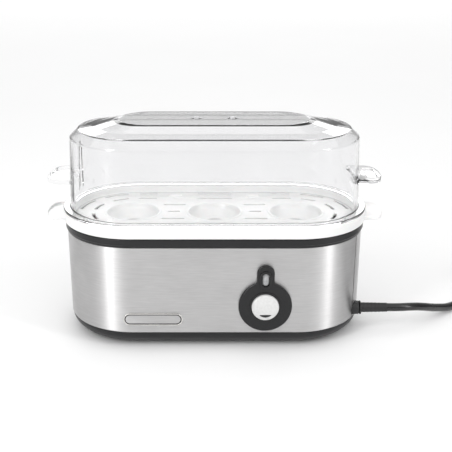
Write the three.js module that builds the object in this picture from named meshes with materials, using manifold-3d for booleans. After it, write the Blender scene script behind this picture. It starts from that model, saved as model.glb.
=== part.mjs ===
// Electric egg cooker for three eggs: a long, round-ended steel body on a black base, with a water
// pan, an egg tray and a clear lid that lift off, a push button on the front and a mains cord.
// Millimetres, +Z up, the front faces -Y, and the origin is under the middle of the whole outline.

import * as THREE from "three";
import { mergeVertices } from "three/addons/utils/BufferGeometryUtils.js";
import Module from "manifold-3d";

// ---------------------------------------------------------------- driving dimensions

const GAP = 0.3; // between pieces that touch
const SIDES = 36; // facets round a long, round-ended piece

const BODY_LENGTH = 220;
const BODY_DEPTH = 102;
const FOOT_HEIGHT = 2.5;
const BASE_HEIGHT = 10;
const BAND_HEIGHT = 66;
const RING_HEIGHT = 6.8;
const SKIRT_HEIGHT = 8.4;
const LID_WALL_HEIGHT = 53.6;
const SHOULDER_HEIGHT = 6;
const LEDGE_HEIGHT = 1.8;
const CROWN_HEIGHT = 4.2;

const BASE_INSET = 7.8; // how far the foot of the base stands in from the band
const BASE_WALL = 2.5;
const BAND_THICKNESS = 0.6;
const RING_BULGE = 1.2; // how far the ring stands out of the band
const RING_WALL = 5;
const PAN_THICKNESS = 0.8;
const PAN_INSET = 9; // from the band to the pan's wall
const PAN_DEPTH = 15;
const RIM_OVERHANG = 2.7; // how far the tray's rim stands out of the band
const RIM_WIDTH = 6.4;
const TRAY_WALL = 1.8;
const FLOOR_DROP = 5.4; // tray rim to tray floor
const LID_WALL = 2;
const LID_FLANGE = 5.4;
const LID_DRAFT = 1.8; // how far the lid's wall leans in
const SHOULDER_INSET = 6.2;
const LEDGE_WIDTH = 9.4;
const CROWN_INSET = 8;
const CROWN_END_INSET = 9; // the crown's ends slope further in than its sides

const EGG_OPENING = 38.4;
const EGG_LIP = 1.6;
const EGG_SEAT = 24;
const EGG_HOLE = 16.4;
const CUP_DEPTH = 8.4;
const ROW_OUTER = 4.4; // from the dish's wall in to the outer row of steam slots
const ROW_INNER = 15.8; // and to the inner row

const TRAY_GRIP_REACH = 12.4; // beyond the tray's rim
const TRAY_GRIP_DEPTH = 35;
const TRAY_GRIP_THICKNESS = 2.6;
const LUG_REACH = 17; // beyond the lid's wall
const LUG_DEPTH = 41;
const LUG_THICKNESS = 2.8;
const LUG_ABOVE_FLANGE = 21.6;
const LUG_DIMPLE_DEPTH = 1.1;
const VENT_SPACING = 26;
const VENT_DIAMETER = 5;

const SWITCH_X = 36.2;
const BEZEL_DIAMETER = 38.6;
const BEZEL_ABOVE_BASE = 2.6;
const BEZEL_PROUD = 2.4;
const NECK_WIDTH = 12.6;
const NECK_BELOW_RING = 12.4;
const BUTTON_DIAMETER = 19.6;
const BUTTON_PROUD = 6.2;
const LENS_WIDTH = 4.6;
const LENS_HEIGHT = 9.4;

const BADGE_X = -44.2;
const BADGE_LENGTH = 42.6;
const BADGE_HEIGHT = 9.4;
const BADGE_ABOVE_BASE = 6.4;

const ELEMENT_DIAMETER = 6.5;
const ELEMENT_LOOP_DEPTH = 36;
const PILLAR_DIAMETER = 6.4;
const RIB_THICKNESS = 2.4;
const SCREW_DIAMETER = 3;
const SCREW_HEAD = 5.6;
const WIRE_DIAMETER = 2.2;
const SWITCH_DEPTH = 18;
const FOOT_DIAMETER = 12;
const FOOT_BEYOND_END = 3; // past the centre of the round end, along X
const FOOT_INSET = 19.2; // in from the base's lower edge, along Y

const SEAM_ANGLE = 30; // degrees round the right end, from +X towards the front
const CORD_DIAMETER = 6.2;
const CORD_EXIT_Y = -21;
const CORD_ABOVE_BASE = 6.2;
const OUTLET_WIDTH = 11;
const OUTLET_HEIGHT = 9.4;
const RELIEF_LENGTH = 20;
const RELIEF_ROOT = 4.6; // the relief starts this far outside the band
const CORD_REACH = 130; // from the relief's end to the coil's centre, along X
const CORD_SWING = 83; // from the exit to the coil's centre, along Y
const COIL_MEAN_DIAMETER = 68;
const COIL_PITCH = CORD_DIAMETER * 1.04; // between strands that lie beside or on each other
const STRAND_SLACK = 0.15;
const TABLE_CLEARANCE = 0.05;
const TIE_WIDTH = 7;
const TIE_THICKNESS = 0.8;
const PLUG_DIAMETER = 37;
const PLUG_LENGTH = 32;
const PIN_DIAMETER = 4.8;
const PIN_LENGTH = 19;
const PIN_PITCH = 19;

// ---------------------------------------------------------------- derived heights and half sizes

const SPREAD = (BODY_LENGTH - BODY_DEPTH) / 2; // from the middle to each round end's centre
const BODY_R = BODY_DEPTH / 2;
const Z_BASE = FOOT_HEIGHT;
const Z_BAND = Z_BASE + BASE_HEIGHT;
const Z_RING = Z_BAND + BAND_HEIGHT;
const Z_PAN = Z_RING + RING_HEIGHT;
const Z_RIM = Z_PAN + SKIRT_HEIGHT;
const Z_FLANGE = Z_RIM + GAP;
const Z_SHOULDER = Z_RIM + LID_WALL_HEIGHT;
const Z_LEDGE = Z_SHOULDER + SHOULDER_HEIGHT;
const Z_CROWN = Z_LEDGE + LEDGE_HEIGHT;
const Z_TOP = Z_CROWN + CROWN_HEIGHT;

const BASE_R = BODY_R - BASE_INSET;
const PLATE_TOP = Z_BASE + 3.6;
const BAND_INNER_R = BODY_R - BAND_THICKNESS;
const RING_R = BODY_R + RING_BULGE;
const RING_INNER_R = RING_R - RING_WALL;
const PAN_R = BODY_R - PAN_INSET;
const PAN_FLOOR = Z_PAN - PAN_DEPTH;
const PAN_RIM_R = RING_R - 2.2;
const RIM_R = BODY_R + RIM_OVERHANG;
const DISH_R = RIM_R - RIM_WIDTH;
const Z_FLOOR = Z_RIM - FLOOR_DROP;
const FLANGE_R = RIM_R - 0.6;
const LID_R = FLANGE_R - LID_FLANGE;
const LID_TOP_R = LID_R - LID_DRAFT;
const LEDGE_R = LID_TOP_R - SHOULDER_INSET;
const CROWN_R = LEDGE_R - LEDGE_WIDTH;
const CROWN_TOP_R = CROWN_R - CROWN_INSET;
const EGG_PITCH = SPREAD + 2;

const BEZEL_R = BEZEL_DIAMETER / 2;
const BUTTON_R = BUTTON_DIAMETER / 2;
const BUTTON_Z = Z_BAND + BEZEL_ABOVE_BASE + BEZEL_R;
const NECK_TOP = Z_RING - NECK_BELOW_RING;
const LENS_Z = NECK_TOP - NECK_WIDTH / 2 - LENS_HEIGHT / 2;
const CORD_R = CORD_DIAMETER / 2;
const CORD_Z = Z_BAND + CORD_ABOVE_BASE;
const CORD_EXIT_X = SPREAD + Math.sqrt(BODY_R ** 2 - CORD_EXIT_Y ** 2);
const PILLAR_R = PILLAR_DIAMETER / 2;
const PILLAR_X = SPREAD;
const PILLAR_Y = BASE_R - PILLAR_R - 1.4;

// ---------------------------------------------------------------- materials

const material = (color, roughness, metalness = 0, more = {}) =>
  new THREE.MeshStandardMaterial({ color, roughness, metalness, ...more });
const blackPlastic = material(0x1b1c1e, 0.32);
const glossBlack = material(0x0c0c0d, 0.12);
const steel = material(0xb9b7b2, 0.34, 1);
const plate = material(0xc9c9c7, 0.25, 1);
const whitePlastic = material(0xf1f1ee, 0.4);
const clearPlastic = material(0xe9eef0, 0.06, 0, { transparent: true, opacity: 0.35 });
const lampPlastic = material(0xcfd2d4, 0.15, 0, { transparent: true, opacity: 0.6 });
const rubber = material(0x202021, 0.8);
const ceramic = material(0xe6e0d2, 0.7);
const silver = material(0xd7d8da, 0.3, 1);
const cordPlastic = material(0x111112, 0.35);
const wireColours = {
  live: material(0x6b3f22, 0.5),
  neutral: material(0x2a4fa0, 0.5),
  earth: material(0x6d9a2e, 0.5),
};

// ---------------------------------------------------------------- solids

const wasm = await Module();
wasm.setup();

// A closed three.js geometry as a manifold solid.
function solid(geometry) {
  const bare = geometry.clone();
  bare.deleteAttribute("normal");
  bare.deleteAttribute("uv");
  const merged = mergeVertices(bare, 1e-4);
  const mesh = new wasm.Mesh({
    numProp: 3,
    vertProperties: merged.attributes.position.array,
    triVerts: new Uint32Array(merged.index.array),
  });
  return new wasm.Manifold(mesh);
}

// A manifold solid back as a three.js geometry.
function geometryOf(body) {
  const mesh = body.getMesh();
  const geometry = new THREE.BufferGeometry();
  geometry.setAttribute("position", new THREE.BufferAttribute(mesh.vertProperties, 3));
  geometry.setIndex(new THREE.BufferAttribute(mesh.triVerts, 1));
  const flat = geometry.toNonIndexed();
  flat.computeVertexNormals();
  return flat;
}

const join = (first, ...rest) => geometryOf(rest.reduce((a, g) => a.add(solid(g)), solid(first)));

const cut = (first, ...rest) =>
  geometryOf(rest.reduce((a, g) => a.subtract(solid(g)), solid(first)));

// A lathe of [half depth, height] points whose two halves are drawn apart along X, so that the
// round plan becomes a long one with round ends. The spread can change with the height.
function longLathe(profile, spread = () => SPREAD, sides = SIDES) {
  const flat = Math.cos(Math.PI / sides);
  const points = profile.map(([r, z]) => new THREE.Vector2(r / flat, z));
  const geometry = new THREE.LatheGeometry(points, sides, Math.PI / sides);
  geometry.rotateX(Math.PI / 2);
  const p = geometry.attributes.position;
  for (let i = 0; i < p.count; i++) {
    p.setX(i, p.getX(i) + Math.sign(p.getX(i)) * spread(p.getZ(i)));
  }
  return geometry;
}

// A round lathe about +Z.
function lathe(profile, sides = 32) {
  const points = profile.map(([r, z]) => new THREE.Vector2(r, z));
  const geometry = new THREE.LatheGeometry(points, sides);
  return geometry.rotateX(Math.PI / 2);
}

// An upright cylinder between two heights.
function post(radius, z0, z1, x = 0, y = 0, sides = 24) {
  const geometry = new THREE.CylinderGeometry(radius, radius, z1 - z0, sides);
  return geometry.rotateX(Math.PI / 2).translate(x, y, (z0 + z1) / 2);
}

// A box between two corners.
function block([x0, y0, z0], [x1, y1, z1]) {
  const geometry = new THREE.BoxGeometry(x1 - x0, y1 - y0, z1 - z0);
  return geometry.translate((x0 + x1) / 2, (y0 + y1) / 2, (z0 + z1) / 2);
}

// A flat shape raised along +Z from z0 to z1.
function plateOf(shape, z0, z1, curveSegments = 8) {
  const options = { depth: z1 - z0, bevelEnabled: false, curveSegments };
  return new THREE.ExtrudeGeometry(shape, options).translate(0, 0, z0);
}

// A rectangle with rounded corners, round the point x, y.
function roundedRectangle(x, y, width, height, radius) {
  const [l, b, r, t] = [x - width / 2, y - height / 2, x + width / 2, y + height / 2];
  const shape = new THREE.Shape();
  shape.moveTo(l + radius, b);
  shape.lineTo(r - radius, b);
  shape.absarc(r - radius, b + radius, radius, -Math.PI / 2, 0);
  shape.lineTo(r, t - radius);
  shape.absarc(r - radius, t - radius, radius, 0, Math.PI / 2);
  shape.lineTo(l + radius, t);
  shape.absarc(l + radius, t - radius, radius, Math.PI / 2, Math.PI);
  shape.lineTo(l, b + radius);
  shape.absarc(l + radius, b + radius, radius, Math.PI, Math.PI * 1.5);
  return shape;
}

// A slot with round ends, round the point x, y.
const slotShape = (x, y, length, width) =>
  roundedRectangle(x, y, length, width, Math.min(length, width) / 2 - 0.1);

// A round bar of the given radius along a curve.
function bar(curve, radius, steps, sides = 10) {
  const section = new THREE.Shape();
  for (let i = 0; i < sides; i++) {
    const a = (i / sides) * Math.PI * 2;
    section[i ? "lineTo" : "moveTo"](radius * Math.cos(a), radius * Math.sin(a));
  }
  const options = { steps, bevelEnabled: false, extrudePath: curve };
  return new THREE.ExtrudeGeometry(section, options);
}

const curveThrough = (points, tension = 0.5) =>
  new THREE.CatmullRomCurve3(
    points.map((p) => new THREE.Vector3(...p)),
    false,
    "catmullrom",
    tension,
  );

const named = (name, geometry, look) => {
  const mesh = new THREE.Mesh(geometry, look);
  mesh.name = name;
  return mesh;
};

// Places a shape drawn in X and Z, raised along +Z, so that it faces the front at depth y.
const facingFront = (geometry, y) => geometry.rotateX(Math.PI / 2).translate(0, y, 0);

// ---------------------------------------------------------------- housing

// Black plastic base: a shallow tub whose outside swells from its foot to the band.
function baseShell() {
  const h = BASE_HEIGHT;
  const top = BODY_R - 0.5;
  const swell = top - BASE_R;
  const lip = BAND_INNER_R - GAP;
  const outline = [
    [0, Z_BASE + 1],
    [BASE_R - 3, Z_BASE + 1],
    [BASE_R - 2.4, Z_BASE],
    [BASE_R, Z_BASE],
    [BASE_R + swell * 0.33, Z_BASE + h * 0.12],
    [BASE_R + swell * 0.63, Z_BASE + h * 0.33],
    [BASE_R + swell * 0.85, Z_BASE + h * 0.6],
    [top - 0.2, Z_BASE + h * 0.85],
    [top, Z_BAND],
    [lip, Z_BAND],
    [lip, Z_BAND + 3],
    [lip - BASE_WALL, Z_BAND + 3],
    [lip - BASE_WALL, Z_BASE + h * 0.5],
    [BASE_R - BASE_WALL, PLATE_TOP],
    [0, PLATE_TOP],
  ];
  const holes = pillars().flatMap(([x, y]) => [
    post(SCREW_DIAMETER / 2 + GAP, Z_BASE - 1, PLATE_TOP + 1, x, y, 12),
    post(SCREW_HEAD / 2 + GAP, Z_BASE - 1, PLATE_TOP - 1.2, x, y, 12),
  ]);
  const pegs = feet().map(([x, y]) => post(2 + GAP, Z_BASE - 1, Z_BASE + 2.2, x, y, 12));
  return cut(longLathe(outline), ...holes, ...pegs, outletCutter());
}

const corners = (x, y) => [
  [x, y],
  [-x, y],
  [x, -y],
  [-x, -y],
];
const pillars = () => corners(PILLAR_X, PILLAR_Y);
const feet = () => corners(SPREAD + FOOT_BEYOND_END, BASE_R - FOOT_INSET);

// Rubber foot: a round pad with a peg that plugs into the base.
function foot(x, y) {
  const pad = FOOT_DIAMETER / 2;
  const outline = [
    [0, 0],
    [pad - 0.8, 0],
    [pad, 0.8],
    [pad, Z_BASE + 1 - GAP],
    [2, Z_BASE + 1 - GAP],
    [2, Z_BASE + 1.9],
    [0, Z_BASE + 1.9],
  ];
  return lathe(outline, 14).translate(x, y, 0);
}

// Pan-head screw from under the base up into a pillar.
function baseScrew(x, y) {
  const r = SCREW_DIAMETER / 2;
  const seat = PLATE_TOP - 1.2 - GAP;
  const outline = [
    [0, seat - 1.5],
    [SCREW_HEAD / 2 - 0.5, seat - 1.5],
    [SCREW_HEAD / 2, seat - 0.8],
    [SCREW_HEAD / 2, seat],
    [r, seat],
    [r, seat + 9],
    [0, seat + 10],
  ];
  const slot = block([x - 2, y - 0.4, seat - 2], [x + 2, y + 0.4, seat - 0.9]);
  return cut(lathe(outline, 10).translate(x, y, 0), slot);
}

// Notch through the right end of the body where the cord's bushing sits.
const outletCutter = () =>
  outletSleeve(CORD_EXIT_X - 16, CORD_EXIT_X + 14, OUTLET_WIDTH + 2 * GAP, OUTLET_HEIGHT + 2 * GAP);

// The bezel's outline: a disc with a round-topped neck above it, grown by the given amount.
function bezelShape(grow = 0) {
  const r = BEZEL_R + grow;
  const w = NECK_WIDTH / 2 + grow;
  const fillet = 3;
  const reach = Math.sqrt((r + fillet) ** 2 - (w + fillet) ** 2);
  const a = Math.atan2(reach, w + fillet);
  const shape = new THREE.Shape();
  shape.absarc(SWITCH_X, BUTTON_Z, r, Math.PI - a, 2 * Math.PI + a, false);
  const side = SWITCH_X + w + fillet;
  shape.absarc(side, BUTTON_Z + reach, fillet, Math.PI + a, Math.PI, true);
  shape.absarc(SWITCH_X, NECK_TOP - NECK_WIDTH / 2, w, 0, Math.PI, false);
  shape.absarc(SWITCH_X - w - fillet, BUTTON_Z + reach, fillet, 0, -a, true);
  return shape;
}

// Brushed steel band round the body, rolled from one sheet with a lapped seam on its right end.
function steelBand() {
  const tube = longLathe([
    [BAND_INNER_R, Z_BAND + GAP],
    [BODY_R, Z_BAND + GAP],
    [BODY_R, Z_RING - GAP],
    [BAND_INNER_R, Z_RING - GAP],
    [BAND_INNER_R, Z_BAND + GAP],
  ]);
  const seam = block([0, -0.35, Z_BAND - 1], [BODY_R + 2, 0.35, Z_RING + 1])
    .rotateZ((-SEAM_ANGLE * Math.PI) / 180)
    .translate(SPREAD, 0, 0);
  const depth = BAND_THICKNESS + 3;
  const window = facingFront(plateOf(bezelShape(-3), 0, depth, 10), -BODY_R + depth - 1);
  return cut(tube, seam, window, outletCutter());
}

// A screw pillar of the ring: a round post under the pan, hung from the ring by a stepped rib.
function ringPillar(x, y) {
  const side = Math.sign(y);
  const t = RIB_THICKNESS / 2;
  const under = PAN_FLOOR - PAN_THICKNESS - 2;
  const rib = (y0, y1, z0, z1) => {
    const [a, b] = [side * y0, side * y1].sort((p, q) => p - q);
    return block([x - t, a, z0], [x + t, b, z1]);
  };
  return [
    post(PILLAR_R, PLATE_TOP + GAP, under, x, y, 12),
    rib(PILLAR_Y, RING_INNER_R + 1, Z_BAND + 8, under),
    rib(PAN_R + 1, RING_INNER_R + 1, under - 1, Z_PAN - 2),
  ];
}

// Black ring that caps the band and carries the pan, with four screw pillars down to the base.
function topRing() {
  const outline = [
    [RING_INNER_R, Z_RING],
    [RING_R - 1.2, Z_RING],
    [RING_R - 0.6, Z_RING + 0.5],
    [RING_R - 0.5, Z_RING + 1.3],
    [RING_R, Z_RING + 2.2],
    [RING_R, Z_PAN - 1.6],
    [RING_R - 0.6, Z_PAN],
    [PAN_RIM_R + GAP, Z_PAN],
    [PAN_RIM_R + GAP, Z_PAN - 1.4],
    [RING_INNER_R, Z_PAN - 1.4],
    [RING_INNER_R, Z_RING],
  ];
  const posts = pillars().flatMap(([x, y]) => ringPillar(x, y));
  const bores = pillars().map(([x, y]) =>
    post(SCREW_DIAMETER / 2 + GAP, PLATE_TOP - 1, PLATE_TOP + 11, x, y, 12),
  );
  return cut(join(longLathe(outline), ...posts), ...bores);
}

// Stainless water pan: a long dish whose rim rolls out over the ring.
function waterPan() {
  const t = PAN_THICKNESS;
  return longLathe([
    [0, PAN_FLOOR - t],
    [PAN_R - 5, PAN_FLOOR - t],
    [PAN_R - 1, PAN_FLOOR + 1.4],
    [PAN_R, PAN_FLOOR + 5],
    [PAN_R, Z_PAN - 1.4 + GAP],
    [PAN_RIM_R, Z_PAN - 1.4 + GAP],
    [PAN_RIM_R, Z_PAN - 0.2],
    [PAN_R - t, Z_PAN - 0.2],
    [PAN_R - t, PAN_FLOOR + 5],
    [PAN_R - 1 - t, PAN_FLOOR + 2],
    [PAN_R - 5 - t, PAN_FLOOR],
    [0, PAN_FLOOR],
  ]);
}

const ELEMENT_Z = PAN_FLOOR - PAN_THICKNESS - GAP - ELEMENT_DIAMETER / 2;

// Tubular heating element under the pan: an open loop with both cold ends turned down at the left.
function heatingElement() {
  const r = ELEMENT_LOOP_DEPTH / 2;
  const end = SPREAD - 4;
  const points = [];
  points.push([-end + 6, -6, ELEMENT_Z - 14], [-end + 6, -6, ELEMENT_Z - 7]);
  points.push([-end + 4, -8, ELEMENT_Z - 1.5], [-end - 1, -r + 2, ELEMENT_Z]);
  points.push([-end + 14, -r, ELEMENT_Z], [0, -r, ELEMENT_Z], [end - 10, -r, ELEMENT_Z]);
  for (let i = 1; i < 6; i++) {
    const a = -Math.PI / 2 + (i / 6) * Math.PI;
    points.push([end - 10 + r * Math.cos(a), r * Math.sin(a), ELEMENT_Z]);
  }
  points.push([end - 10, r, ELEMENT_Z], [0, r, ELEMENT_Z], [-end + 14, r, ELEMENT_Z]);
  points.push([-end - 1, r - 2, ELEMENT_Z], [-end + 4, 8, ELEMENT_Z - 1.5]);
  points.push([-end + 6, 6, ELEMENT_Z - 7], [-end + 6, 6, ELEMENT_Z - 14]);
  return bar(curveThrough(points), ELEMENT_DIAMETER / 2, 52, 8);
}

// Connector blade on a cold end of the element.
function elementTerminal(side) {
  const x = -SPREAD + 10;
  const top = ELEMENT_Z - 14 - GAP;
  return block([x - 3.1, side * 6 - 0.4, top - 9], [x + 3.1, side * 6 + 0.4, top]);
}

// Snap-disc thermostat held against the pan's underside.
function thermostat() {
  const top = PAN_FLOOR - PAN_THICKNESS - GAP;
  const disc = lathe(
    [
      [0, top - 11],
      [7, top - 11],
      [7, top - 4],
      [8, top - 4],
      [8, top],
      [0, top],
    ],
    24,
  );
  const blades = [-1, 1].map((s) =>
    block([s * 4 - 3, -0.4, top - 19], [s * 4 + 3, 0.4, top - 10]),
  );
  return join(disc, ...blades);
}

// Spring clip that holds the thermostat: a strap under its flange, with feet along the pan.
function thermostatClip() {
  const top = PAN_FLOOR - PAN_THICKNESS - GAP;
  const under = top - 4 - GAP;
  const strap = block([-13, -3.2, under - 0.8], [13, 3.2, under]);
  const wells = post(7 + GAP, under - 2, under + 1, 0, 0, 24);
  const arms = [-1, 1].map((s) => block([s * 12.2 - 0.8, -3.2, under - 0.4], [s * 12.2 + 0.8, 3.2, top]));
  const ring = post(10.5, under - 0.8, under, 0, 0, 24);
  return geometryOf(
    solid(join(strap, ring, ...arms)).subtract(solid(wells)),
  );
}

// Thermal fuse in its sleeve, beside the thermostat.
function thermalFuse() {
  const z = PAN_FLOOR - PAN_THICKNESS - GAP - 2.2;
  return new THREE.CapsuleGeometry(2, 10, 3, 8).rotateZ(Math.PI / 2).translate(27, 0, z);
}

// Ceramic terminal block on the base plate.
function terminalBlock() {
  const z0 = PLATE_TOP + GAP;
  const body = block([-18, -2, z0], [12, 12, z0 + 13]);
  const ports = [-14, -6, 2, 8].map((x) => post(1.6, z0 + 6, z0 + 14, x + 0.5, 5, 10));
  return cut(body, ...ports);
}

const SWITCH_FRONT = -BODY_R + 7;

// Push switch behind the button.
function switchBody() {
  const half = 9;
  const depth = SWITCH_DEPTH;
  const box = block(
    [SWITCH_X - half, SWITCH_FRONT, BUTTON_Z - half],
    [SWITCH_X + half, SWITCH_FRONT + depth, BUTTON_Z + half],
  );
  const blades = [-1, 1].map((s) =>
    block(
      [SWITCH_X + s * 5 - 0.4, SWITCH_FRONT + depth - 1, BUTTON_Z - 3],
      [SWITCH_X + s * 5 + 0.4, SWITCH_FRONT + depth + 8, BUTTON_Z + 3],
    ),
  );
  const well = new THREE.CylinderGeometry(4.4, 4.4, 6, 20).translate(SWITCH_X, SWITCH_FRONT + 2, BUTTON_Z);
  return cut(join(box, ...blades), well);
}

// Gloss black bezel: a disc round the button and a neck above it that holds the lamp's window.
function switchBezel() {
  const y = -BODY_R - GAP;
  const options = {
    depth: BEZEL_PROUD - 1.3,
    bevelEnabled: true,
    bevelThickness: 1.3,
    bevelSize: 1.6,
    bevelOffset: -1.6,
    bevelSegments: 1,
    curveSegments: 11,
  };
  const face = new THREE.ExtrudeGeometry(bezelShape(), options);
  face.rotateX(Math.PI / 2).translate(0, y, 0);
  const back = block([-BODY_LENGTH, y, 0], [BODY_LENGTH, y + 10, Z_TOP]);
  const front = cut(face, back);
  const tail = facingFront(plateOf(bezelShape(-3 - GAP), 0, 4, 8), y + 3.6);
  const bore = new THREE.CylinderGeometry(BUTTON_R + GAP, BUTTON_R + GAP, 20, 28);
  bore.translate(SWITCH_X, y, BUTTON_Z);
  const window = facingFront(
    plateOf(slotShape(SWITCH_X, LENS_Z, LENS_WIDTH + 2 * GAP, LENS_HEIGHT + 2 * GAP), 0, 20, 6),
    y + 10,
  );
  return cut(join(front, tail), bore, window);
}

// White push button with a domed face, a finger mark and a stem into the switch.
function pushButton() {
  const y0 = -BODY_R + 1.5;
  const face = -BODY_R - BUTTON_PROUD;
  const outline = [
    [0, face],
    [BUTTON_R * 0.45, face + 0.35],
    [BUTTON_R * 0.8, face + 1.1],
    [BUTTON_R - 0.3, face + 2],
    [BUTTON_R, face + 2.8],
    [BUTTON_R, y0],
    [3.6, y0],
    [3.6, SWITCH_FRONT + 1.2],
    [0, SWITCH_FRONT + 1.2],
  ];
  const turned = outline.map(([r, y]) => new THREE.Vector2(r, y));
  const geometry = new THREE.LatheGeometry(turned, 28);
  return geometry.translate(SWITCH_X, 0, BUTTON_Z);
}

// Return spring round the button's stem: a coil drawn as one wire.
function buttonSpring() {
  const points = [];
  const turns = 2.5;
  const y0 = -BODY_R + 1.5 + GAP + 0.5;
  const y1 = SWITCH_FRONT - GAP - 0.5;
  for (let i = 0; i <= turns * 10; i++) {
    const a = (i / 10) * Math.PI * 2;
    const y = y0 + ((y1 - y0) * i) / (turns * 10);
    points.push([SWITCH_X + 5.2 * Math.cos(a), y, BUTTON_Z + 5.2 * Math.sin(a)]);
  }
  return bar(curveThrough(points), 0.4, turns * 10, 5);
}

// Clear window of the lamp, seated in the bezel's neck.
function lampLens() {
  const shape = slotShape(SWITCH_X, LENS_Z, LENS_WIDTH, LENS_HEIGHT);
  return facingFront(plateOf(shape, 0, 5.6, 6), -BODY_R + 2.4);
}

// Neon lamp behind its window.
function pilotLamp() {
  const lamp = new THREE.CapsuleGeometry(2.4, 8, 3, 8).rotateX(Math.PI / 2);
  return lamp.translate(SWITCH_X, -BODY_R + 6.6, LENS_Z);
}

// Plain oval badge on the front.
function badge() {
  const z = Z_BAND + BADGE_ABOVE_BASE + BADGE_HEIGHT / 2;
  const options = {
    depth: 0.5,
    bevelEnabled: true,
    bevelThickness: 0.3,
    bevelSize: 0.4,
    bevelOffset: -0.4,
    bevelSegments: 1,
    curveSegments: 5,
  };
  const shape = slotShape(BADGE_X, z, BADGE_LENGTH, BADGE_HEIGHT);
  const geometry = new THREE.ExtrudeGeometry(shape, options).rotateX(Math.PI / 2);
  return geometry.translate(0, -BODY_R - GAP - 0.3, 0);
}

// ---------------------------------------------------------------- wiring

// A wire inside the body through the given points.
const wire = (points) => bar(curveThrough(points), WIRE_DIAMETER / 2, points.length * 2, 6);

// The wires: cord to terminal block, block to switch, switch to thermostat, and on to the element.
function wiring() {
  const end = WIRE_DIAMETER / 2 + GAP;
  const blockZ = PLATE_TOP + 7;
  const inlet = CORD_EXIT_X - 7 - end;
  const switchBack = SWITCH_FRONT + SWITCH_DEPTH + 8 + end;
  const blades = PAN_FLOOR - PAN_THICKNESS - GAP - 19 - end;
  const cold = ELEMENT_Z - 14 - GAP - 9 - end;
  const coldX = -SPREAD + 10;
  return [
    [
      "wire_supply_live",
      "live",
      [
        [inlet, CORD_EXIT_Y - 1.8, CORD_Z],
        [inlet - 14, CORD_EXIT_Y - 0.4, CORD_Z + 1],
        [inlet - 44, CORD_EXIT_Y + 12, blockZ + 3],
        [24, 1, blockZ + 1],
        [12 + end, 1, blockZ],
      ],
    ],
    [
      "wire_supply_neutral",
      "neutral",
      [
        [inlet, CORD_EXIT_Y + 1.8, CORD_Z],
        [inlet - 14, CORD_EXIT_Y + 6, CORD_Z + 2],
        [inlet - 44, CORD_EXIT_Y + 22, blockZ + 4],
        [24, 8, blockZ + 1],
        [12 + end, 8, blockZ],
      ],
    ],
    [
      "wire_block_to_switch",
      "live",
      [
        [5, -2 - end, blockZ],
        [6, -7, blockZ + 3],
        [18, -7, (blockZ + BUTTON_Z) / 2],
        [SWITCH_X - 6, -6, BUTTON_Z - 2],
        [SWITCH_X - 5, switchBack + 5, BUTTON_Z],
        [SWITCH_X - 5, switchBack, BUTTON_Z],
      ],
    ],
    [
      "wire_switch_to_thermostat",
      "live",
      [
        [SWITCH_X + 5, switchBack, BUTTON_Z],
        [SWITCH_X + 5, switchBack + 5, BUTTON_Z],
        [SWITCH_X, -3, (BUTTON_Z + blades) / 2 - 2],
        [20, 0, blades - 5],
        [6, 0, blades - 4],
        [4, 0, blades],
      ],
    ],
    [
      "wire_thermostat_to_element",
      "live",
      [
        [-4, 0, blades],
        [-6, 0, blades - 4],
        [-22, -3, (blades + cold) / 2 - 7],
        [coldX + 6, -6, cold - 6],
        [coldX, -6, cold],
      ],
    ],
    [
      "wire_block_to_element",
      "neutral",
      [
        [-18 - end, 5, blockZ],
        [-28, 6, blockZ + 2],
        [coldX + 4, 6, (blockZ + cold) / 2],
        [coldX, 6, cold - 6],
        [coldX, 6, cold],
      ],
    ],
    [
      "wire_pan_earth",
      "earth",
      [
        [-10, 12 + end, blockZ],
        [-12, 20, blockZ + 6],
        [-14, ELEMENT_LOOP_DEPTH / 2 + 10, (blockZ + PAN_FLOOR) / 2],
        [-14, ELEMENT_LOOP_DEPTH / 2 + 10, PAN_FLOOR - PAN_THICKNESS - end],
      ],
    ],
  ];
}

// ---------------------------------------------------------------- tray

// A long grip at each end: a plate with rounded outer corners.
function gripShape(root, reach, depth, side) {
  const shape = new THREE.Shape();
  const r = Math.min(reach * 0.55, depth * 0.3);
  const tip = root + reach;
  const half = depth / 2;
  const x = (v) => side * v;
  shape.moveTo(x(root - 8), -half);
  shape.lineTo(x(tip - r * 1.3), -half);
  shape.quadraticCurveTo(x(tip - r * 0.15), -half, x(tip - r * 0.15), -half + r);
  shape.quadraticCurveTo(x(tip), 0, x(tip - r * 0.15), half - r);
  shape.quadraticCurveTo(x(tip - r * 0.15), half, x(tip - r * 1.3), half);
  shape.lineTo(x(root - 8), half);
  return shape;
}

// The floor's steam slots: rows between the cups, a ring of arcs round the ends.
function traySlots() {
  const z0 = Z_FLOOR - 12;
  const z1 = Z_FLOOR + 4;
  const slot = (x, y, length, width = 2.4) => plateOf(slotShape(x, y, length, width), z0, z1, 1);
  const cutters = [];
  for (const x of [-EGG_PITCH / 2, EGG_PITCH / 2]) {
    cutters.push(slot(x, 0, 9.4), slot(x, 15.6, 17), slot(x, -15.6, 17));
  }
  const beside = EGG_PITCH * 0.86;
  for (const side of [-1, 1]) {
    for (const row of [DISH_R - ROW_OUTER, DISH_R - ROW_INNER]) {
      const y = side * row;
      cutters.push(slot(0, y, 28), slot(-beside, y, 15), slot(beside, y, 15));
    }
  }
  for (const end of [-1, 1]) {
    for (const [radius, half, mid] of endArcs()) {
      cutters.push(arcSlot(end, radius, half, mid, z0, z1));
      cutters.push(arcSlot(end, radius, half, -mid, z0, z1));
    }
  }
  return cutters;
}

// Radius, half angle and middle angle in degrees of the arcs round an end, from the X axis.
const endArcs = () => [
  [DISH_R - ROW_OUTER, 12, 64],
  [DISH_R - ROW_OUTER, 14, 22],
  [DISH_R - ROW_INNER, 10, 63],
  [DISH_R - ROW_INNER, 11, 21],
];

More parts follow.
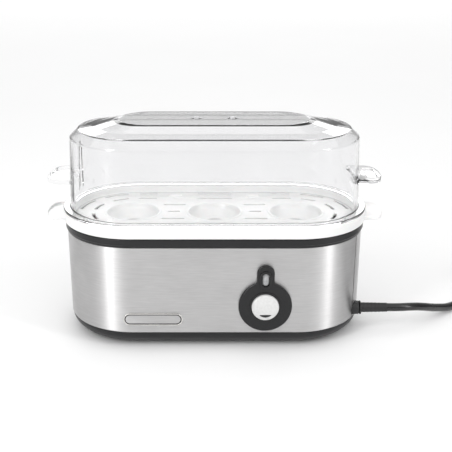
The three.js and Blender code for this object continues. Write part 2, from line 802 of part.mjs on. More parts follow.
// An arc-shaped slot round one end's centre.
function arcSlot(end, radius, half, mid, z0, z1) {
  const shape = new THREE.Shape();
  const w = 1.2;
  const a0 = ((mid - half) * Math.PI) / 180;
  const a1 = ((mid + half) * Math.PI) / 180;
  shape.absarc(0, 0, radius + w, a0, a1, false);
  shape.absarc(0, 0, radius - w, a1, a0, true);
  const geometry = plateOf(shape, z0, z1, 2);
  if (end < 0) {
    geometry.rotateZ(Math.PI);
  }
  return geometry.translate(end * SPREAD, 0, 0);
}

// The hollow of one egg cup, grown by the given amount.
function cupSolid(x, grow, top) {
  const r = EGG_OPENING / 2 + grow;
  const seat = EGG_SEAT / 2 + grow;
  const bottom = Z_FLOOR - CUP_DEPTH - grow;
  return lathe(
    [
      [0, bottom],
      [seat, bottom],
      [seat + 1.2, bottom + 0.6],
      [r - 1.6, Z_FLOOR - 2.4],
      [r, Z_FLOOR - 0.9],
      [r + EGG_LIP, Z_FLOOR + (grow ? -0.6 : 0.01)],
      [r + EGG_LIP, top],
      [0, top],
    ],
    22,
  ).translate(x, 0, 0);
}

// White egg tray: a long dish with an overhanging skirt, three cups and steam slots.
function eggTray() {
  const t = TRAY_WALL;
  const skirt = RIM_R - 0.7;
  const shell = longLathe([
    [0, Z_FLOOR - t],
    [DISH_R - 1.2, Z_FLOOR - t],
    [DISH_R + t, Z_FLOOR - t + 1],
    [DISH_R + t, Z_RIM - t],
    [skirt - t, Z_RIM - t],
    [skirt - t, Z_PAN + GAP],
    [skirt, Z_PAN + GAP],
    [RIM_R, Z_RIM - 1.4],
    [RIM_R - 0.4, Z_RIM - 0.4],
    [RIM_R - 1.4, Z_RIM],
    [DISH_R + 0.8, Z_RIM],
    [DISH_R, Z_RIM - 0.8],
    [DISH_R - 0.6, Z_FLOOR + 1.6],
    [DISH_R - 2.2, Z_FLOOR],
    [0, Z_FLOOR],
  ]);
  let body = solid(shell);
  const root = SPREAD + RIM_R;
  const gripTop = Z_RIM - 3.6;
  for (const side of [-1, 1]) {
    const grip = plateOf(
      gripShape(root, TRAY_GRIP_REACH, TRAY_GRIP_DEPTH, side),
      gripTop - TRAY_GRIP_THICKNESS,
      gripTop,
      5,
    );
    const keepOut = solid(longLathe([[0, 0], [skirt - 1, 0], [skirt - 1, Z_TOP], [0, Z_TOP]]));
    body = body.add(solid(grip).subtract(keepOut));
  }
  const cups = [-EGG_PITCH, 0, EGG_PITCH];
  for (const x of cups) {
    body = body.add(solid(cupSolid(x, t, Z_FLOOR - 0.2)));
  }
  for (const x of cups) {
    body = body.subtract(solid(cupSolid(x, 0, Z_FLOOR + 3)));
    body = body.subtract(solid(post(EGG_HOLE / 2, Z_FLOOR - 20, Z_FLOOR, x, 0, 24)));
  }
  for (const cutter of traySlots()) {
    body = body.subtract(solid(cutter));
  }
  return geometryOf(body);
}

// ---------------------------------------------------------------- lid

// Half the lid's length less its half depth, which shrinks over the crown.
function lidSpread(z) {
  const t = Math.min(Math.max((z - Z_CROWN) / CROWN_HEIGHT, 0), 1);
  const ledge = z > Z_LEDGE ? 3 * Math.min((z - Z_LEDGE) / LEDGE_HEIGHT, 1) : 0;
  return SPREAD - ledge - CROWN_END_INSET * t;
}

// Clear lid: a tall draughted wall, a sloped shoulder, a ledge and a raised crown with two vents.
function lid() {
  const w = LID_WALL;
  const outer = [
    [FLANGE_R, Z_FLANGE],
    [FLANGE_R, Z_FLANGE + 1.2],
    [FLANGE_R - 0.6, Z_FLANGE + 1.7],
    [LID_R + 0.8, Z_FLANGE + 1.7],
    [LID_R, Z_FLANGE + 2.6],
    [LID_TOP_R + 0.1, Z_SHOULDER - 1.2],
    [LID_TOP_R - 0.5, Z_SHOULDER],
    [LEDGE_R + 0.5, Z_LEDGE - 0.4],
    [LEDGE_R - 0.4, Z_LEDGE],
    [CROWN_R + 0.6, Z_CROWN - 0.1],
    [CROWN_R - 0.2, Z_CROWN + 0.3],
    [CROWN_TOP_R + 0.8, Z_TOP - 0.4],
    [CROWN_TOP_R - 0.4, Z_TOP],
    [0, Z_TOP],
  ];
  const inner = [
    [0, Z_TOP - w],
    [CROWN_TOP_R - 1.2, Z_TOP - w],
    [CROWN_R - 1, Z_CROWN - w],
    [LEDGE_R - 1, Z_LEDGE - w],
    [LID_TOP_R - w - 0.2, Z_SHOULDER - 1],
    [LID_R - w, Z_FLANGE + 2.6],
    [LID_R - w, Z_FLANGE],
    [FLANGE_R, Z_FLANGE],
  ];
  let body = solid(longLathe([...outer, ...inner], lidSpread));
  const z1 = Z_RIM + LUG_ABOVE_FLANGE + LUG_THICKNESS;
  const z0 = z1 - LUG_THICKNESS;
  const root = SPREAD + LID_R - LID_DRAFT * 0.4;
  const space = [
    [0, 0],
    [LID_R - w + 0.3, 0],
    [LID_R - w - 0.5, Z_SHOULDER],
    [0, Z_SHOULDER],
  ];
  const hollow = solid(longLathe(space));
  for (const side of [-1, 1]) {
    const lug = solid(plateOf(gripShape(root, LUG_REACH, LUG_DEPTH, side), z0, z1, 5));
    body = body.add(lug.subtract(hollow));
    const x = side * (root + LUG_REACH * 0.52);
    const dimple = roundedRectangle(x, 0, LUG_REACH * 0.55, LUG_DEPTH * 0.62, 4);
    body = body.subtract(solid(plateOf(dimple, z1 - LUG_DIMPLE_DEPTH, z1 + 1, 4)));
    for (const edge of [-1, 1]) {
      const ribX = side * (root + 1.4);
      const ribY = edge * (LUG_DEPTH / 2 - 2.6);
      const rib = block([ribX - 2.6, ribY - 0.8, z0 - 3.4], [ribX + 2.6, ribY + 0.8, z0 + 0.5]);
      body = body.add(solid(rib).subtract(hollow));
    }
  }
  for (const side of [-1, 1]) {
    const x = (side * VENT_SPACING) / 2;
    const rimRing = post(VENT_DIAMETER / 2 + 1.3, Z_TOP - 1, Z_TOP + 0.5, x, 0, 20);
    body = body.add(solid(rimRing));
    body = body.subtract(solid(post(VENT_DIAMETER / 2, Z_TOP - 6, Z_TOP + 3, x, 0, 20)));
  }
  return geometryOf(body);
}

// ---------------------------------------------------------------- cord

// The bushing in the outlet: a flanged oval sleeve and a ribbed, tapered strain relief.
function cordGland() {
  const x = CORD_EXIT_X;
  const sleeve = outletSleeve(x - 7, x + 3.6, OUTLET_WIDTH, OUTLET_HEIGHT);
  const collar = outletSleeve(x + 3.2, x + 5.2, OUTLET_WIDTH + 1.4, OUTLET_HEIGHT + 0.6);
  const relief = [
    [0, 0],
    [CORD_R + 0.7, 0],
    [CORD_R + 0.3, RELIEF_LENGTH],
    [0, RELIEF_LENGTH],
  ];
  const cone = lathe(relief, 14).rotateY(Math.PI / 2).translate(x + RELIEF_ROOT, CORD_EXIT_Y, CORD_Z);
  return join(sleeve, collar, cone);
}

// An oval plug of the outlet's section between two positions along X.
function outletSleeve(x0, x1, width, height) {
  const shape = slotShape(CORD_EXIT_Y, CORD_Z, width, height);
  const turn = new THREE.Matrix4().set(0, 0, 1, 0, 1, 0, 0, 0, 0, 1, 0, 0, 0, 0, 0, 1);
  return plateOf(shape, x0, x1, 8).applyMatrix4(turn);
}

const CORD_START = CORD_EXIT_X + RELIEF_ROOT + RELIEF_LENGTH + GAP;
const COIL_X = CORD_START + CORD_REACH;
const COIL_Y = CORD_EXIT_Y + CORD_SWING;
const COIL_R = COIL_MEAN_DIAMETER / 2;
const COIL_HALF_WIDTH = COIL_PITCH + CORD_R + STRAND_SLACK;
const COIL_OUTER_R = COIL_R + COIL_HALF_WIDTH;
const COIL_INNER_R = COIL_R - COIL_HALF_WIDTH;
const COIL_BOTTOM = TABLE_CLEARANCE + TIE_THICKNESS + GAP;
const COIL_TOP = COIL_BOTTOM + CORD_DIAMETER + COIL_PITCH + STRAND_SLACK;
const TABLE_Z = CORD_R + TABLE_CLEARANCE; // the cord's centre where it lies on the table
const STRAND_Z = COIL_BOTTOM + CORD_R;
const TAIL_X = COIL_X + COIL_R + COIL_PITCH / 2;
const PLUG_Z = PLUG_DIAMETER / 2 + TABLE_CLEARANCE;

// How far before its tangent point a strand meets the coil's outline.
const meets = (strandR) =>
  Math.sqrt((COIL_OUTER_R + GAP) ** 2 - (strandR - CORD_R) ** 2);

// The cord where it runs free: straight out of its relief, down to the table and on to the coil.
function powerCord() {
  const [x, y, z] = [CORD_START, CORD_EXIT_Y, CORD_Z];
  const joinX = COIL_X - COIL_R - COIL_PITCH;
  const joinY = COIL_Y - meets(COIL_R + COIL_PITCH);
  return bar(
    curveThrough([
      [x, y, z],
      [x + 6, y, z],
      [x + 12, y + 0.9, z - 0.3],
      [x + 18, y + 3, z - 1],
      [x + 25, y + 6.6, z - 2.6],
      [x + 32, y + 11.4, z - 5.2],
      [x + 39, y + 17.2, z - 8.4],
      [x + 46, y + 23.4, z - 11.4],
      [x + 53, y + 29.2, TABLE_Z + 1.6],
      [x + 60, y + 34.9, TABLE_Z + 0.3],
      [x + 67, y + 40.5, TABLE_Z],
      [x + 74, y + 46.2, TABLE_Z + 0.2],
      [x + 80.5, y + 51.7, TABLE_Z + 0.6],
      [joinX - 3.3, joinY, STRAND_Z - 0.1],
    ]),
    CORD_R,
    14,
  );
}

// The rest of the cord wound into a round coil, as the plain ring that its strands fill.
function cordCoil() {
  const ring = lathe(
    [
      [COIL_INNER_R, COIL_BOTTOM],
      [COIL_OUTER_R, COIL_BOTTOM],
      [COIL_OUTER_R, COIL_TOP],
      [COIL_INNER_R, COIL_TOP],
      [COIL_INNER_R, COIL_BOTTOM],
    ],
    36,
  );
  return ring.translate(COIL_X, COIL_Y, 0);
}

// Strap round the coil's strands, on the side away from the body.
function cordTie() {
  const width = COIL_OUTER_R - COIL_INNER_R + 4 * GAP;
  const height = COIL_TOP - COIL_BOTTOM + 2 * GAP;
  const middle = (COIL_BOTTOM + COIL_TOP) / 2;
  const t = 2 * TIE_THICKNESS;
  const band = roundedRectangle(COIL_R, middle, width + t, height + t, 1.2);
  band.holes.push(roundedRectangle(COIL_R, middle, width, height, 0.4));
  const strap = plateOf(band, -TIE_WIDTH / 2, TIE_WIDTH / 2, 3);
  return strap.rotateX(Math.PI / 2).rotateZ(Math.PI / 2).translate(COIL_X, COIL_Y, 0);
}

const TAIL_START = COIL_Y - meets(COIL_R + COIL_PITCH / 2);
const TAIL_END = TAIL_START - 26;

// The cord's last stretch, from the coil up into the plug.
function cordTail() {
  const z = STRAND_Z + COIL_PITCH;
  const rise = PLUG_Z - z;
  return bar(
    curveThrough([
      [TAIL_X, TAIL_START, z],
      [TAIL_X, TAIL_START - 6, z + rise * 0.08],
      [TAIL_X, TAIL_START - 13, z + rise * 0.5],
      [TAIL_X, TAIL_START - 20, z + rise * 0.92],
      [TAIL_X, TAIL_END, PLUG_Z],
    ]),
    CORD_R,
    5,
  );
}

// Moulded round plug with a tapered relief, laid on its side and pointing to the front.
function plugBody() {
  const r = PLUG_DIAMETER / 2;
  const neck = RELIEF_LENGTH;
  const outline = [
    [0, 0],
    [CORD_R + 0.8, 0],
    [CORD_R + 2.2, neck - 1],
    [r * 0.62, neck],
    [r * 0.86, neck + PLUG_LENGTH * 0.3],
    [r * 0.9, neck + PLUG_LENGTH * 0.5],
    [r, neck + PLUG_LENGTH * 0.56],
    [r, neck + PLUG_LENGTH - 1],
    [r - 1, neck + PLUG_LENGTH],
    [0, neck + PLUG_LENGTH],
  ];
  return placeOnPlug(lathe(outline, 28));
}

// Turns a piece drawn along +Z from the plug's tail so that it lies along -Y at the plug.
const placeOnPlug = (geometry) =>
  geometry.rotateX(Math.PI / 2).translate(TAIL_X, TAIL_END - GAP, PLUG_Z);

// Round contact pin of the plug.
function plugPin(side) {
  const r = PIN_DIAMETER / 2;
  const foot = RELIEF_LENGTH + PLUG_LENGTH + GAP;
  const outline = [
    [0, foot],
    [r, foot],
    [r, foot + PIN_LENGTH - 1.6],
    [r * 0.45, foot + PIN_LENGTH],
    [0, foot + PIN_LENGTH],
  ];
  return placeOnPlug(lathe(outline, 14).translate((side * PIN_PITCH) / 2, 0, 0));
}

// ---------------------------------------------------------------- assembly

const housing = new THREE.Group();
housing.add(named("base_shell", baseShell(), blackPlastic));
feet().forEach(([x, y], i) => housing.add(named(`foot_${i + 1}`, foot(x, y), rubber)));
pillars().forEach(([x, y], i) => housing.add(named(`base_screw_${i + 1}`, baseScrew(x, y), silver)));
housing.add(named("steel_band", steelBand(), steel));
housing.add(named("top_ring", topRing(), blackPlastic));
housing.add(named("water_pan", waterPan(), plate));
housing.add(named("heating_element", heatingElement(), steel));
housing.add(named("element_terminal_live", elementTerminal(-1), silver));
housing.add(named("element_terminal_neutral", elementTerminal(1), silver));
housing.add(named("thermostat", thermostat(), ceramic));
housing.add(named("thermostat_clip", thermostatClip(), plate));
housing.add(named("thermal_fuse", thermalFuse(), silver));
housing.add(named("terminal_block", terminalBlock(), ceramic));
housing.add(named("switch_body", switchBody(), blackPlastic));
for (const [name, colour, points] of wiring()) {
  housing.add(named(name, wire(points), wireColours[colour]));
}
housing.add(named("switch_bezel", switchBezel(), glossBlack));
housing.add(named("button_spring", buttonSpring(), silver));
housing.add(named("lamp_lens", lampLens(), lampPlastic));
housing.add(named("pilot_lamp", pilotLamp(), lampPlastic));
housing.add(named("badge_plate", badge(), silver));
housing.add(named("cord_gland", cordGland(), cordPlastic));
housing.add(named("power_cord", powerCord(), cordPlastic));
housing.add(named("cord_coil", cordCoil(), cordPlastic));
housing.add(named("cord_tie", cordTie(), cordPlastic));
housing.add(named("cord_tail", cordTail(), cordPlastic));
housing.add(named("plug_body", plugBody(), cordPlastic));
housing.add(named("plug_pin_1", plugPin(-1), silver));
housing.add(named("plug_pin_2", plugPin(1), silver));

const cooker = new THREE.Group();
cooker.add(housing);
cooker.add(named("push_button", pushButton(), whitePlastic));
cooker.add(named("egg_tray", eggTray(), whitePlastic));
cooker.add(named("lid", lid(), clearPlastic));
cooker.position.y = (BODY_R + BUTTON_PROUD - RIM_R) / 2;

export default cooker;
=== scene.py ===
"""Egg cooker for three eggs, laid out as a Blender add-on.

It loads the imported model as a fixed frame, builds the smooth outer pieces on it, gives every piece
its finish, and sets the stage. Drawing sizes are in millimetres; meshes are in metres.
"""

import math

import bmesh
import bpy
import numpy as np
from bpy.props import FloatProperty, FloatVectorProperty, PointerProperty
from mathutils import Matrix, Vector


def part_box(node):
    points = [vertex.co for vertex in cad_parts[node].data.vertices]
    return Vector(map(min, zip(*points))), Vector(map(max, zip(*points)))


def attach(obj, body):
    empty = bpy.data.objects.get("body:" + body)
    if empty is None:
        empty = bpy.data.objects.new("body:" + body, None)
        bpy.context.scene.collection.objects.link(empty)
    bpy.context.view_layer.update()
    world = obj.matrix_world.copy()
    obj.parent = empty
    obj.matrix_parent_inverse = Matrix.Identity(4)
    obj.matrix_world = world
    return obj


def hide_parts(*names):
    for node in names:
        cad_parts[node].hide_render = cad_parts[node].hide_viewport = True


bl_info = {
    "name": "Egg Cooker",
    "version": (1, 0, 0),
    "blender": (4, 5, 0),
    "location": "View3D > Sidebar > Egg Cooker",
    "description": "Builds the shells, controls, cord, finishes and stage of a three-egg cooker",
    "category": "Add Mesh",
}

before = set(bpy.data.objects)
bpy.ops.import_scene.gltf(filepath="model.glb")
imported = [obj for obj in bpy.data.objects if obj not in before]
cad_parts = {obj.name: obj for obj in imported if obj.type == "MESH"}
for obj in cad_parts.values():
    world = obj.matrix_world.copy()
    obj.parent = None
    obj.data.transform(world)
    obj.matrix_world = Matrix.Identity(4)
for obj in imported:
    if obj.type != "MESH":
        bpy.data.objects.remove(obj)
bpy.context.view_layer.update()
MM = 0.001


# ---------------------------------------------------------------- places taken from the frame


def node_box(node):
    """Lowest and highest corner of a CAD node, in millimetres."""
    return tuple(np.array(corner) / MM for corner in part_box(node))


def half_depth(node):
    """Half of a CAD node's size along Y, in millimetres."""
    low, high = node_box(node)
    return (high[1] - low[1]) / 2


def node_centre(node):
    """Middle of a CAD node's box, in millimetres, with Y from the body's axis."""
    low, high = node_box(node)
    return (low + high) / 2 - np.array([0, AXIS_Y, 0])


GAP = 0.3
BAND_LOW, BAND_HIGH = node_box("steel_band")
AXIS_Y = (BAND_LOW[1] + BAND_HIGH[1]) / 2
BODY_R = half_depth("steel_band")
SPREAD = BAND_HIGH[0] - BODY_R
Z_BASE = node_box("base_shell")[0][2]
Z_BAND = BAND_LOW[2] - GAP
Z_RING = BAND_HIGH[2] + GAP
Z_PAN = node_box("top_ring")[1][2]
RING_R = half_depth("top_ring")
PAN_RIM_R = half_depth("water_pan")
PAN_BOTTOM = node_box("water_pan")[0][2]
RIM_R = half_depth("egg_tray")
TRAY_HIGH = node_box("egg_tray")[1]
Z_RIM = TRAY_HIGH[2]
LID_LOW, LID_HIGH = node_box("lid")
Z_FLANGE = LID_LOW[2]
FLANGE_R = half_depth("lid")
VENT_LIP = 0.5
Z_TOP = LID_HIGH[2] - VENT_LIP


# ---------------------------------------------------------------- sizes and colours


def length(name, description, millimetres):
    """A length property whose default is given in millimetres."""
    return FloatProperty(
        name=name, description=description, default=millimetres * MM, unit="LENGTH", precision=5
    )


def colour(name, description, *rgb):
    """A colour property."""
    return FloatVectorProperty(
        name=name, description=description, default=rgb, subtype="COLOR", min=0.0, max=1.0
    )


class EggCookerSizes(bpy.types.PropertyGroup):
    """Sizes that a maker would change."""

    band_thickness: length("Band", "Thickness of the steel band", 0.6)
    ring_wall: length("Ring wall", "Width of the black ring", 5.0)
    pan_wall: length("Pan wall", "Thickness of the water pan", 0.8)
    tray_wall: length("Tray wall", "Thickness of the egg tray", 1.8)
    floor_drop: length("Floor drop", "From the tray's rim down to its floor", 5.4)
    cup_opening: length("Cup opening", "Diameter of an egg cup at the floor", 38.4)
    cup_pitch: length("Cup pitch", "Distance between egg cups", SPREAD + 2.0)
    cup_hole: length("Cup hole", "Diameter of the hole under an egg", 16.4)
    slot_width: length("Slot width", "Width of a steam slot", 2.4)
    lid_wall: length("Lid wall", "Thickness of the clear lid", 2.0)
    lid_flange: length("Lid flange", "Width of the lid's foot", 5.4)
    vent_diameter: length("Vent", "Diameter of a steam vent", 5.0)
    button_diameter: length("Button", "Diameter of the push button", 19.6)
    cord_diameter: length("Cord", "Diameter of the mains cord", 6.2)


class EggCookerColours(bpy.types.PropertyGroup):
    """Colours that a maker would change."""

    steel: colour("Steel", "Brushed stainless steel", 0.64, 0.635, 0.635)
    black: colour("Black plastic", "Satin black housing plastic", 0.022, 0.022, 0.024)
    white: colour("White plastic", "Tray and button", 0.84, 0.84, 0.835)
    clear: colour("Clear plastic", "Tint of the lid", 0.93, 0.93, 0.935)
    cord: colour("Cord", "Cord sheath and plug", 0.012, 0.012, 0.013)
    floor: colour("Floor", "The surface it stands on", 0.92, 0.92, 0.92)


def size(context, name):
    """A size in millimetres."""
    return getattr(context.scene.egg_cooker_sizes, name) / MM


# ---------------------------------------------------------------- surfaces


def grid_faces(rows, columns, wrap_rows=False):
    """Quads of a grid of points whose columns close on themselves, and whose rows may."""
    j = np.arange(rows if wrap_rows else rows - 1)[:, None]
    i = np.arange(columns)[None, :]
    above, beside = (j + 1) % rows, (i + 1) % columns
    quads = [j * columns + i, j * columns + beside, above * columns + beside, above * columns + i]
    return np.stack(np.broadcast_arrays(*quads), axis=-1).reshape(-1, 4).tolist()


def rounded(corners, closed=False, steps=6):
    """Corners (a, b, radius) as a line with each corner cut to an arc tangent to both its sides.

    The arc's centre lies on the bisector at radius / sin(half angle), and its points are the
    spherical mean of its two end directions.
    """
    corners = np.asarray(corners, float)
    parts = []
    for i, (a, b, radius) in enumerate(corners):
        corner = np.array([a, b])
        back = corners[i - 1, :2] - corner
        ahead = corners[(i + 1) % len(corners), :2] - corner
        long_back, long_ahead = np.linalg.norm(back), np.linalg.norm(ahead)
        u, v = back / long_back, ahead / long_ahead
        half = math.acos(np.clip(u @ v, -1, 1)) / 2
        turn = math.pi - 2 * half
        at_end = not closed and i in (0, len(corners) - 1)
        if radius == 0 or turn < 0.02 or at_end:
            parts.append(corner[None])
            continue
        reach = min(radius / math.tan(half), 0.49 * long_back, 0.49 * long_ahead)
        centre = corner + (u + v) / np.linalg.norm(u + v) * reach / math.cos(half)
        start, end = corner + u * reach - centre, corner + v * reach - centre
        k = np.linspace(0, 1, steps + 1)[:, None]
        parts.append(centre + (np.sin((1 - k) * turn) * start + np.sin(k * turn) * end) / math.sin(turn))
    return with_supports(np.concatenate(parts), closed)


def with_supports(line, closed, margin=0.25):
    """A line with a point added just inside both ends of each long straight run, so that smooth
    shading stays flat between them.
    """
    ahead = np.roll(line, -1, axis=0)
    run = np.linalg.norm(ahead - line, axis=1)
    parts = []
    for i, (start, end) in enumerate(zip(line, ahead)):
        parts.append([start])
        if run[i] > 8 * margin and (closed or i < len(line) - 1):
            step = (end - start) / run[i] * margin
            parts.append([start + step, end - step])
    return np.concatenate(parts)


def sweep(profile, spread=SPREAD, closed=True, steps=48):
    """A profile of (half depth r, height z) carried round a long plan with round ends.

    x = end * spread + r cos a and y = r sin a, where the angle a runs once round and end is +1
    on the right half and -1 on the left. The spread may differ for each profile point, and a
    spread of zero gives a plain turned shape.
    """
    profile = np.asarray(profile, float)
    quarter = math.pi / 2
    half = np.concatenate([[-quarter], np.linspace(-quarter, quarter, steps + 1), [quarter]])
    angle = np.concatenate([half, half + math.pi])
    inset = np.concatenate([[0.98], np.ones(steps + 1), [0.98]])
    end = np.concatenate([inset, -inset])
    spread = np.broadcast_to(spread, len(profile))[:, None]
    r, z = profile[:, :1], profile[:, 1:]
    x = end * spread + r * np.cos(angle)
    y = r * np.sin(angle)
    points = np.stack([x, y, np.broadcast_to(z, x.shape)], axis=-1)
    return points.reshape(-1, 3), grid_faces(*x.shape, wrap_rows=closed)


def turned(profile, steps=24, closed=False):
    """A profile of (radius, height) turned about +Z; it starts and ends on the axis or closes."""
    return sweep(profile, 0.0, closed, steps)


def tube(path, radius, sides=20):
    """A round section carried along a path of points: centre + radius (cos a side + sin a up)."""
    path = np.asarray(path, float)
    radius = np.broadcast_to(radius, len(path))[:, None, None]
    along = np.gradient(path, axis=0)
    along /= np.linalg.norm(along, axis=1, keepdims=True)
    side = np.cross(along, [0, 0, 1])
    side /= np.linalg.norm(side, axis=1, keepdims=True)
    up = np.cross(side, along)
    a = np.linspace(0, 2 * math.pi, sides, endpoint=False)[None, :, None]
    rings = path[:, None] + radius * (np.cos(a) * side[:, None] + np.sin(a) * up[:, None])
    first, last = np.repeat(path[:1, None], sides, 1), np.repeat(path[-1:, None], sides, 1)
    rows = np.concatenate([first, rings, last])
    return rows.reshape(-1, 3), grid_faces(len(rows), sides)


def plate(outlines, thickness, edge, steps=2):
    """A flat plate with holes, its rims rounded: outlines filled, raised half its thickness each way."""
    curve = bpy.data.curves.new("plate", "CURVE")
    curve.dimensions = "2D"
    curve.fill_mode = "BOTH"
    curve.extrude = thickness / 2 - edge
    curve.bevel_depth = edge
    curve.bevel_resolution = steps
    curve.offset = -edge
    for outline in outlines:
        spline = curve.splines.new("POLY")
        spline.points.add(len(outline) - 1)
        row = np.column_stack([outline, np.zeros(len(outline)), np.ones(len(outline))])
        spline.points.foreach_set("co", row.ravel())
        spline.use_cyclic_u = True
    holder = bpy.data.objects.new("plate", curve)
    mesh = bpy.data.meshes.new_from_object(holder)
    points = np.zeros(len(mesh.vertices) * 3)
    mesh.vertices.foreach_get("co", points)
    faces = [tuple(face.vertices) for face in mesh.polygons]
    bpy.data.objects.remove(holder)
    bpy.data.curves.remove(curve)
    bpy.data.meshes.remove(mesh)
    return points.reshape(-1, 3), faces


def block(low, high):
    """A box between two corners."""
    corner = np.array([[x, y, z] for z in (0, 1) for x, y in ((0, 0), (1, 0), (1, 1), (0, 1))])
    low, high = np.asarray(low, float), np.asarray(high, float)
    faces = [(3, 2, 1, 0), (4, 5, 6, 7), (0, 1, 5, 4), (1, 2, 6, 5), (2, 3, 7, 6), (3, 0, 4, 7)]
    return low + corner * (high - low), faces


# ---------------------------------------------------------------- placing and outlines


def shift(part, x=0.0, y=0.0, z=0.0):
    """A surface moved by an offset."""
    points, faces = part
    return points + np.array([x, y, z]), faces


def face_front(part, x, y, z):
    """A surface drawn along +Z, turned to point to -Y from the point x, y, z."""
    points, faces = part
    return np.column_stack([x + points[:, 0], y - points[:, 2], z + points[:, 1]]), faces


def face_right(part, x, y, z):
    """A surface drawn along +Z, turned to point to +X from the point x, y, z."""
    points, faces = part
    return np.column_stack([x + points[:, 2], y + points[:, 0], z + points[:, 1]]), faces


def oval(x, y, width, height, steps=10):
    """A closed outline with round ends, as wide and high as given."""
    radius = min(width, height) / 2
    return box_outline(x, y, width, height, radius, steps)


def box_outline(x, y, width, height, radius, steps=8):
    """A closed rectangle with rounded corners."""
    w, h = width / 2, height / 2
    corners = [(x - w, y - h), (x + w, y - h), (x + w, y + h), (x - w, y + h)]
    return rounded([(*c, radius) for c in corners], closed=True, steps=steps)


def polar(angles, radius):
    """Points at angles on a circle round the origin."""
    return radius * np.column_stack([np.cos(angles), np.sin(angles)])


def disc(x, y, radius, steps=64):
    """A closed round outline."""
    return np.array([x, y]) + polar(np.linspace(0, 2 * math.pi, steps, endpoint=False), radius)


def long_outline(radius, steps=48):
    """The long plan with round ends, as a closed outline."""
    half = np.linspace(-math.pi / 2, math.pi / 2, steps + 1)
    right = polar(half, radius) + [SPREAD, 0]
    return np.concatenate([right, -right])


def arc_slot(end, radius, width, middle, half):
    """A slot bent round one end's centre: angles in degrees from that end's axis."""
    a = np.radians(np.linspace(middle - half, middle + half, 9))
    cap = np.linspace(0, math.pi, 7)[1:-1]
    w = width / 2
    tip_cap = polar(a[-1], radius) + polar(a[-1] + cap, w)
    tail_cap = polar(a[0], radius) + polar(a[0] + math.pi + cap, w)
    outline = np.concatenate([polar(a, radius + w), tip_cap, polar(a[::-1], radius - w), tail_cap])
    return outline * end + [end * SPREAD, 0]


def tab_outline(root, reach, depth, side):
    """A grip's plan: square at its root, its outer corners rounded, its end slightly bowed."""
    tip, half = root + reach, depth / 2
    soft = min(reach * 0.62, depth * 0.3)
    edge = [(root - 3, half, 0), (tip - reach * 0.22, half, soft), (tip, half * 0.3, depth * 0.35)]
    corners = [(x, -y, radius) for x, y, radius in edge] + edge[::-1]
    return rounded(corners, closed=True, steps=10) * [side, 1]


# ---------------------------------------------------------------- objects


def piece(name, parts, look, body, stands_for=(), sharp=32):
    """One closed object from surfaces in millimetres, finished, and riding on its body."""
    points, faces, start = [], [], 0
    for part_points, part_faces in parts:
        points.append(part_points)
        faces += [tuple(i + start for i in face) for face in part_faces]
        start += len(part_points)
    points = (np.concatenate(points) + np.array([0, AXIS_Y, 0])) * MM
    mesh = bpy.data.meshes.new(name)
    mesh.from_pydata(points.tolist(), [], faces)
    tidy(mesh)
    made = bpy.data.objects.new(name, mesh)
    bpy.context.scene.collection.objects.link(made)
    smooth(made, sharp)
    finish_piece(made, look, body, stands_for)
    return made


def tidy(mesh):
    """Merges doubled points, drops collapsed faces and turns every closed shell outwards."""
    work = bmesh.new()
    work.from_mesh(mesh)
    bmesh.ops.remove_doubles(work, verts=work.verts, dist=2e-6)
    bmesh.ops.dissolve_degenerate(work, edges=work.edges, dist=1e-7)
    bmesh.ops.recalc_face_normals(work, faces=work.faces)
    work.to_mesh(mesh)
    work.free()


def smooth(made, sharp):
    """Smooth shading, with sharp edges past an angle in degrees."""
    made.data.shade_smooth()
    made.data.set_sharp_from_angle(angle=math.radians(sharp))


def finish_piece(made, look, body, stands_for):
    """Gives a piece its material and its body, and hides the nodes it stands for."""
    made.data.materials.append(look)
    if body:
        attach(made, body)
    if stands_for:
        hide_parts(*stands_for)


def combine(made, parts, operation, sharp=32):
    """Cuts closed surfaces from an object, or joins them to it, and keeps the result as its mesh."""
    for part in parts:
        other = piece("cutter", [part], made.data.materials[0], None)
        change = made.modifiers.new("change", "BOOLEAN")
        change.operation = operation
        change.solver = "EXACT"
        change.object = other
        graph = bpy.context.evaluated_depsgraph_get()
        mesh = bpy.data.meshes.new_from_object(made.evaluated_get(graph))
        made.modifiers.remove(change)
        old = made.data
        made.data = mesh
        mesh.name = made.name
        bpy.data.meshes.remove(old)
        bpy.data.objects.remove(other)
    smooth(made, sharp)


# ---------------------------------------------------------------- shader groups

FINE_LINES = (110.0, 110.0, 3600.0)
BROAD_LINES = (90.0, 90.0, 1100.0)


def add_node(tree, kind, inputs=(), **settings):
    """A shader node with its settings, each input given a value or linked from a socket."""
    node = tree.nodes.new(f"ShaderNode{kind}")
    for label, value in settings.items():
        setattr(node, label, value)
    for label, value in dict(inputs).items():
        if isinstance(value, bpy.types.NodeSocket):
            tree.links.new(value, node.inputs[label])
        else:
            node.inputs[label].default_value = value
    return node


def new_group(name, inputs, output):
    """A shader node group with float inputs and their defaults, and one float output."""
    group = bpy.data.node_groups.new(name, "ShaderNodeTree")
    for label, default in inputs.items():
        socket = group.interface.new_socket(name=label, in_out="INPUT", socket_type="NodeSocketFloat")
        socket.default_value = default
    group.interface.new_socket(name=output, in_out="OUTPUT", socket_type="NodeSocketFloat")
    source = group.nodes.new("NodeGroupInput").outputs
    sink = group.nodes.new("NodeGroupOutput").inputs[output]
    return group, source, sink


def object_noise(tree, scale, detail=3.0, stretch=None):
    """A noise texture on Object coordinates, stretched by a Mapping node if asked."""
    place = add_node(tree, "TexCoord").outputs["Object"]
    if stretch:
        place = add_node(tree, "Mapping", {"Vector": place, "Scale": stretch}).outputs["Vector"]
    return add_node(tree, "TexNoise", {"Vector": place, "Scale": scale, "Detail": detail}).outputs["Fac"]


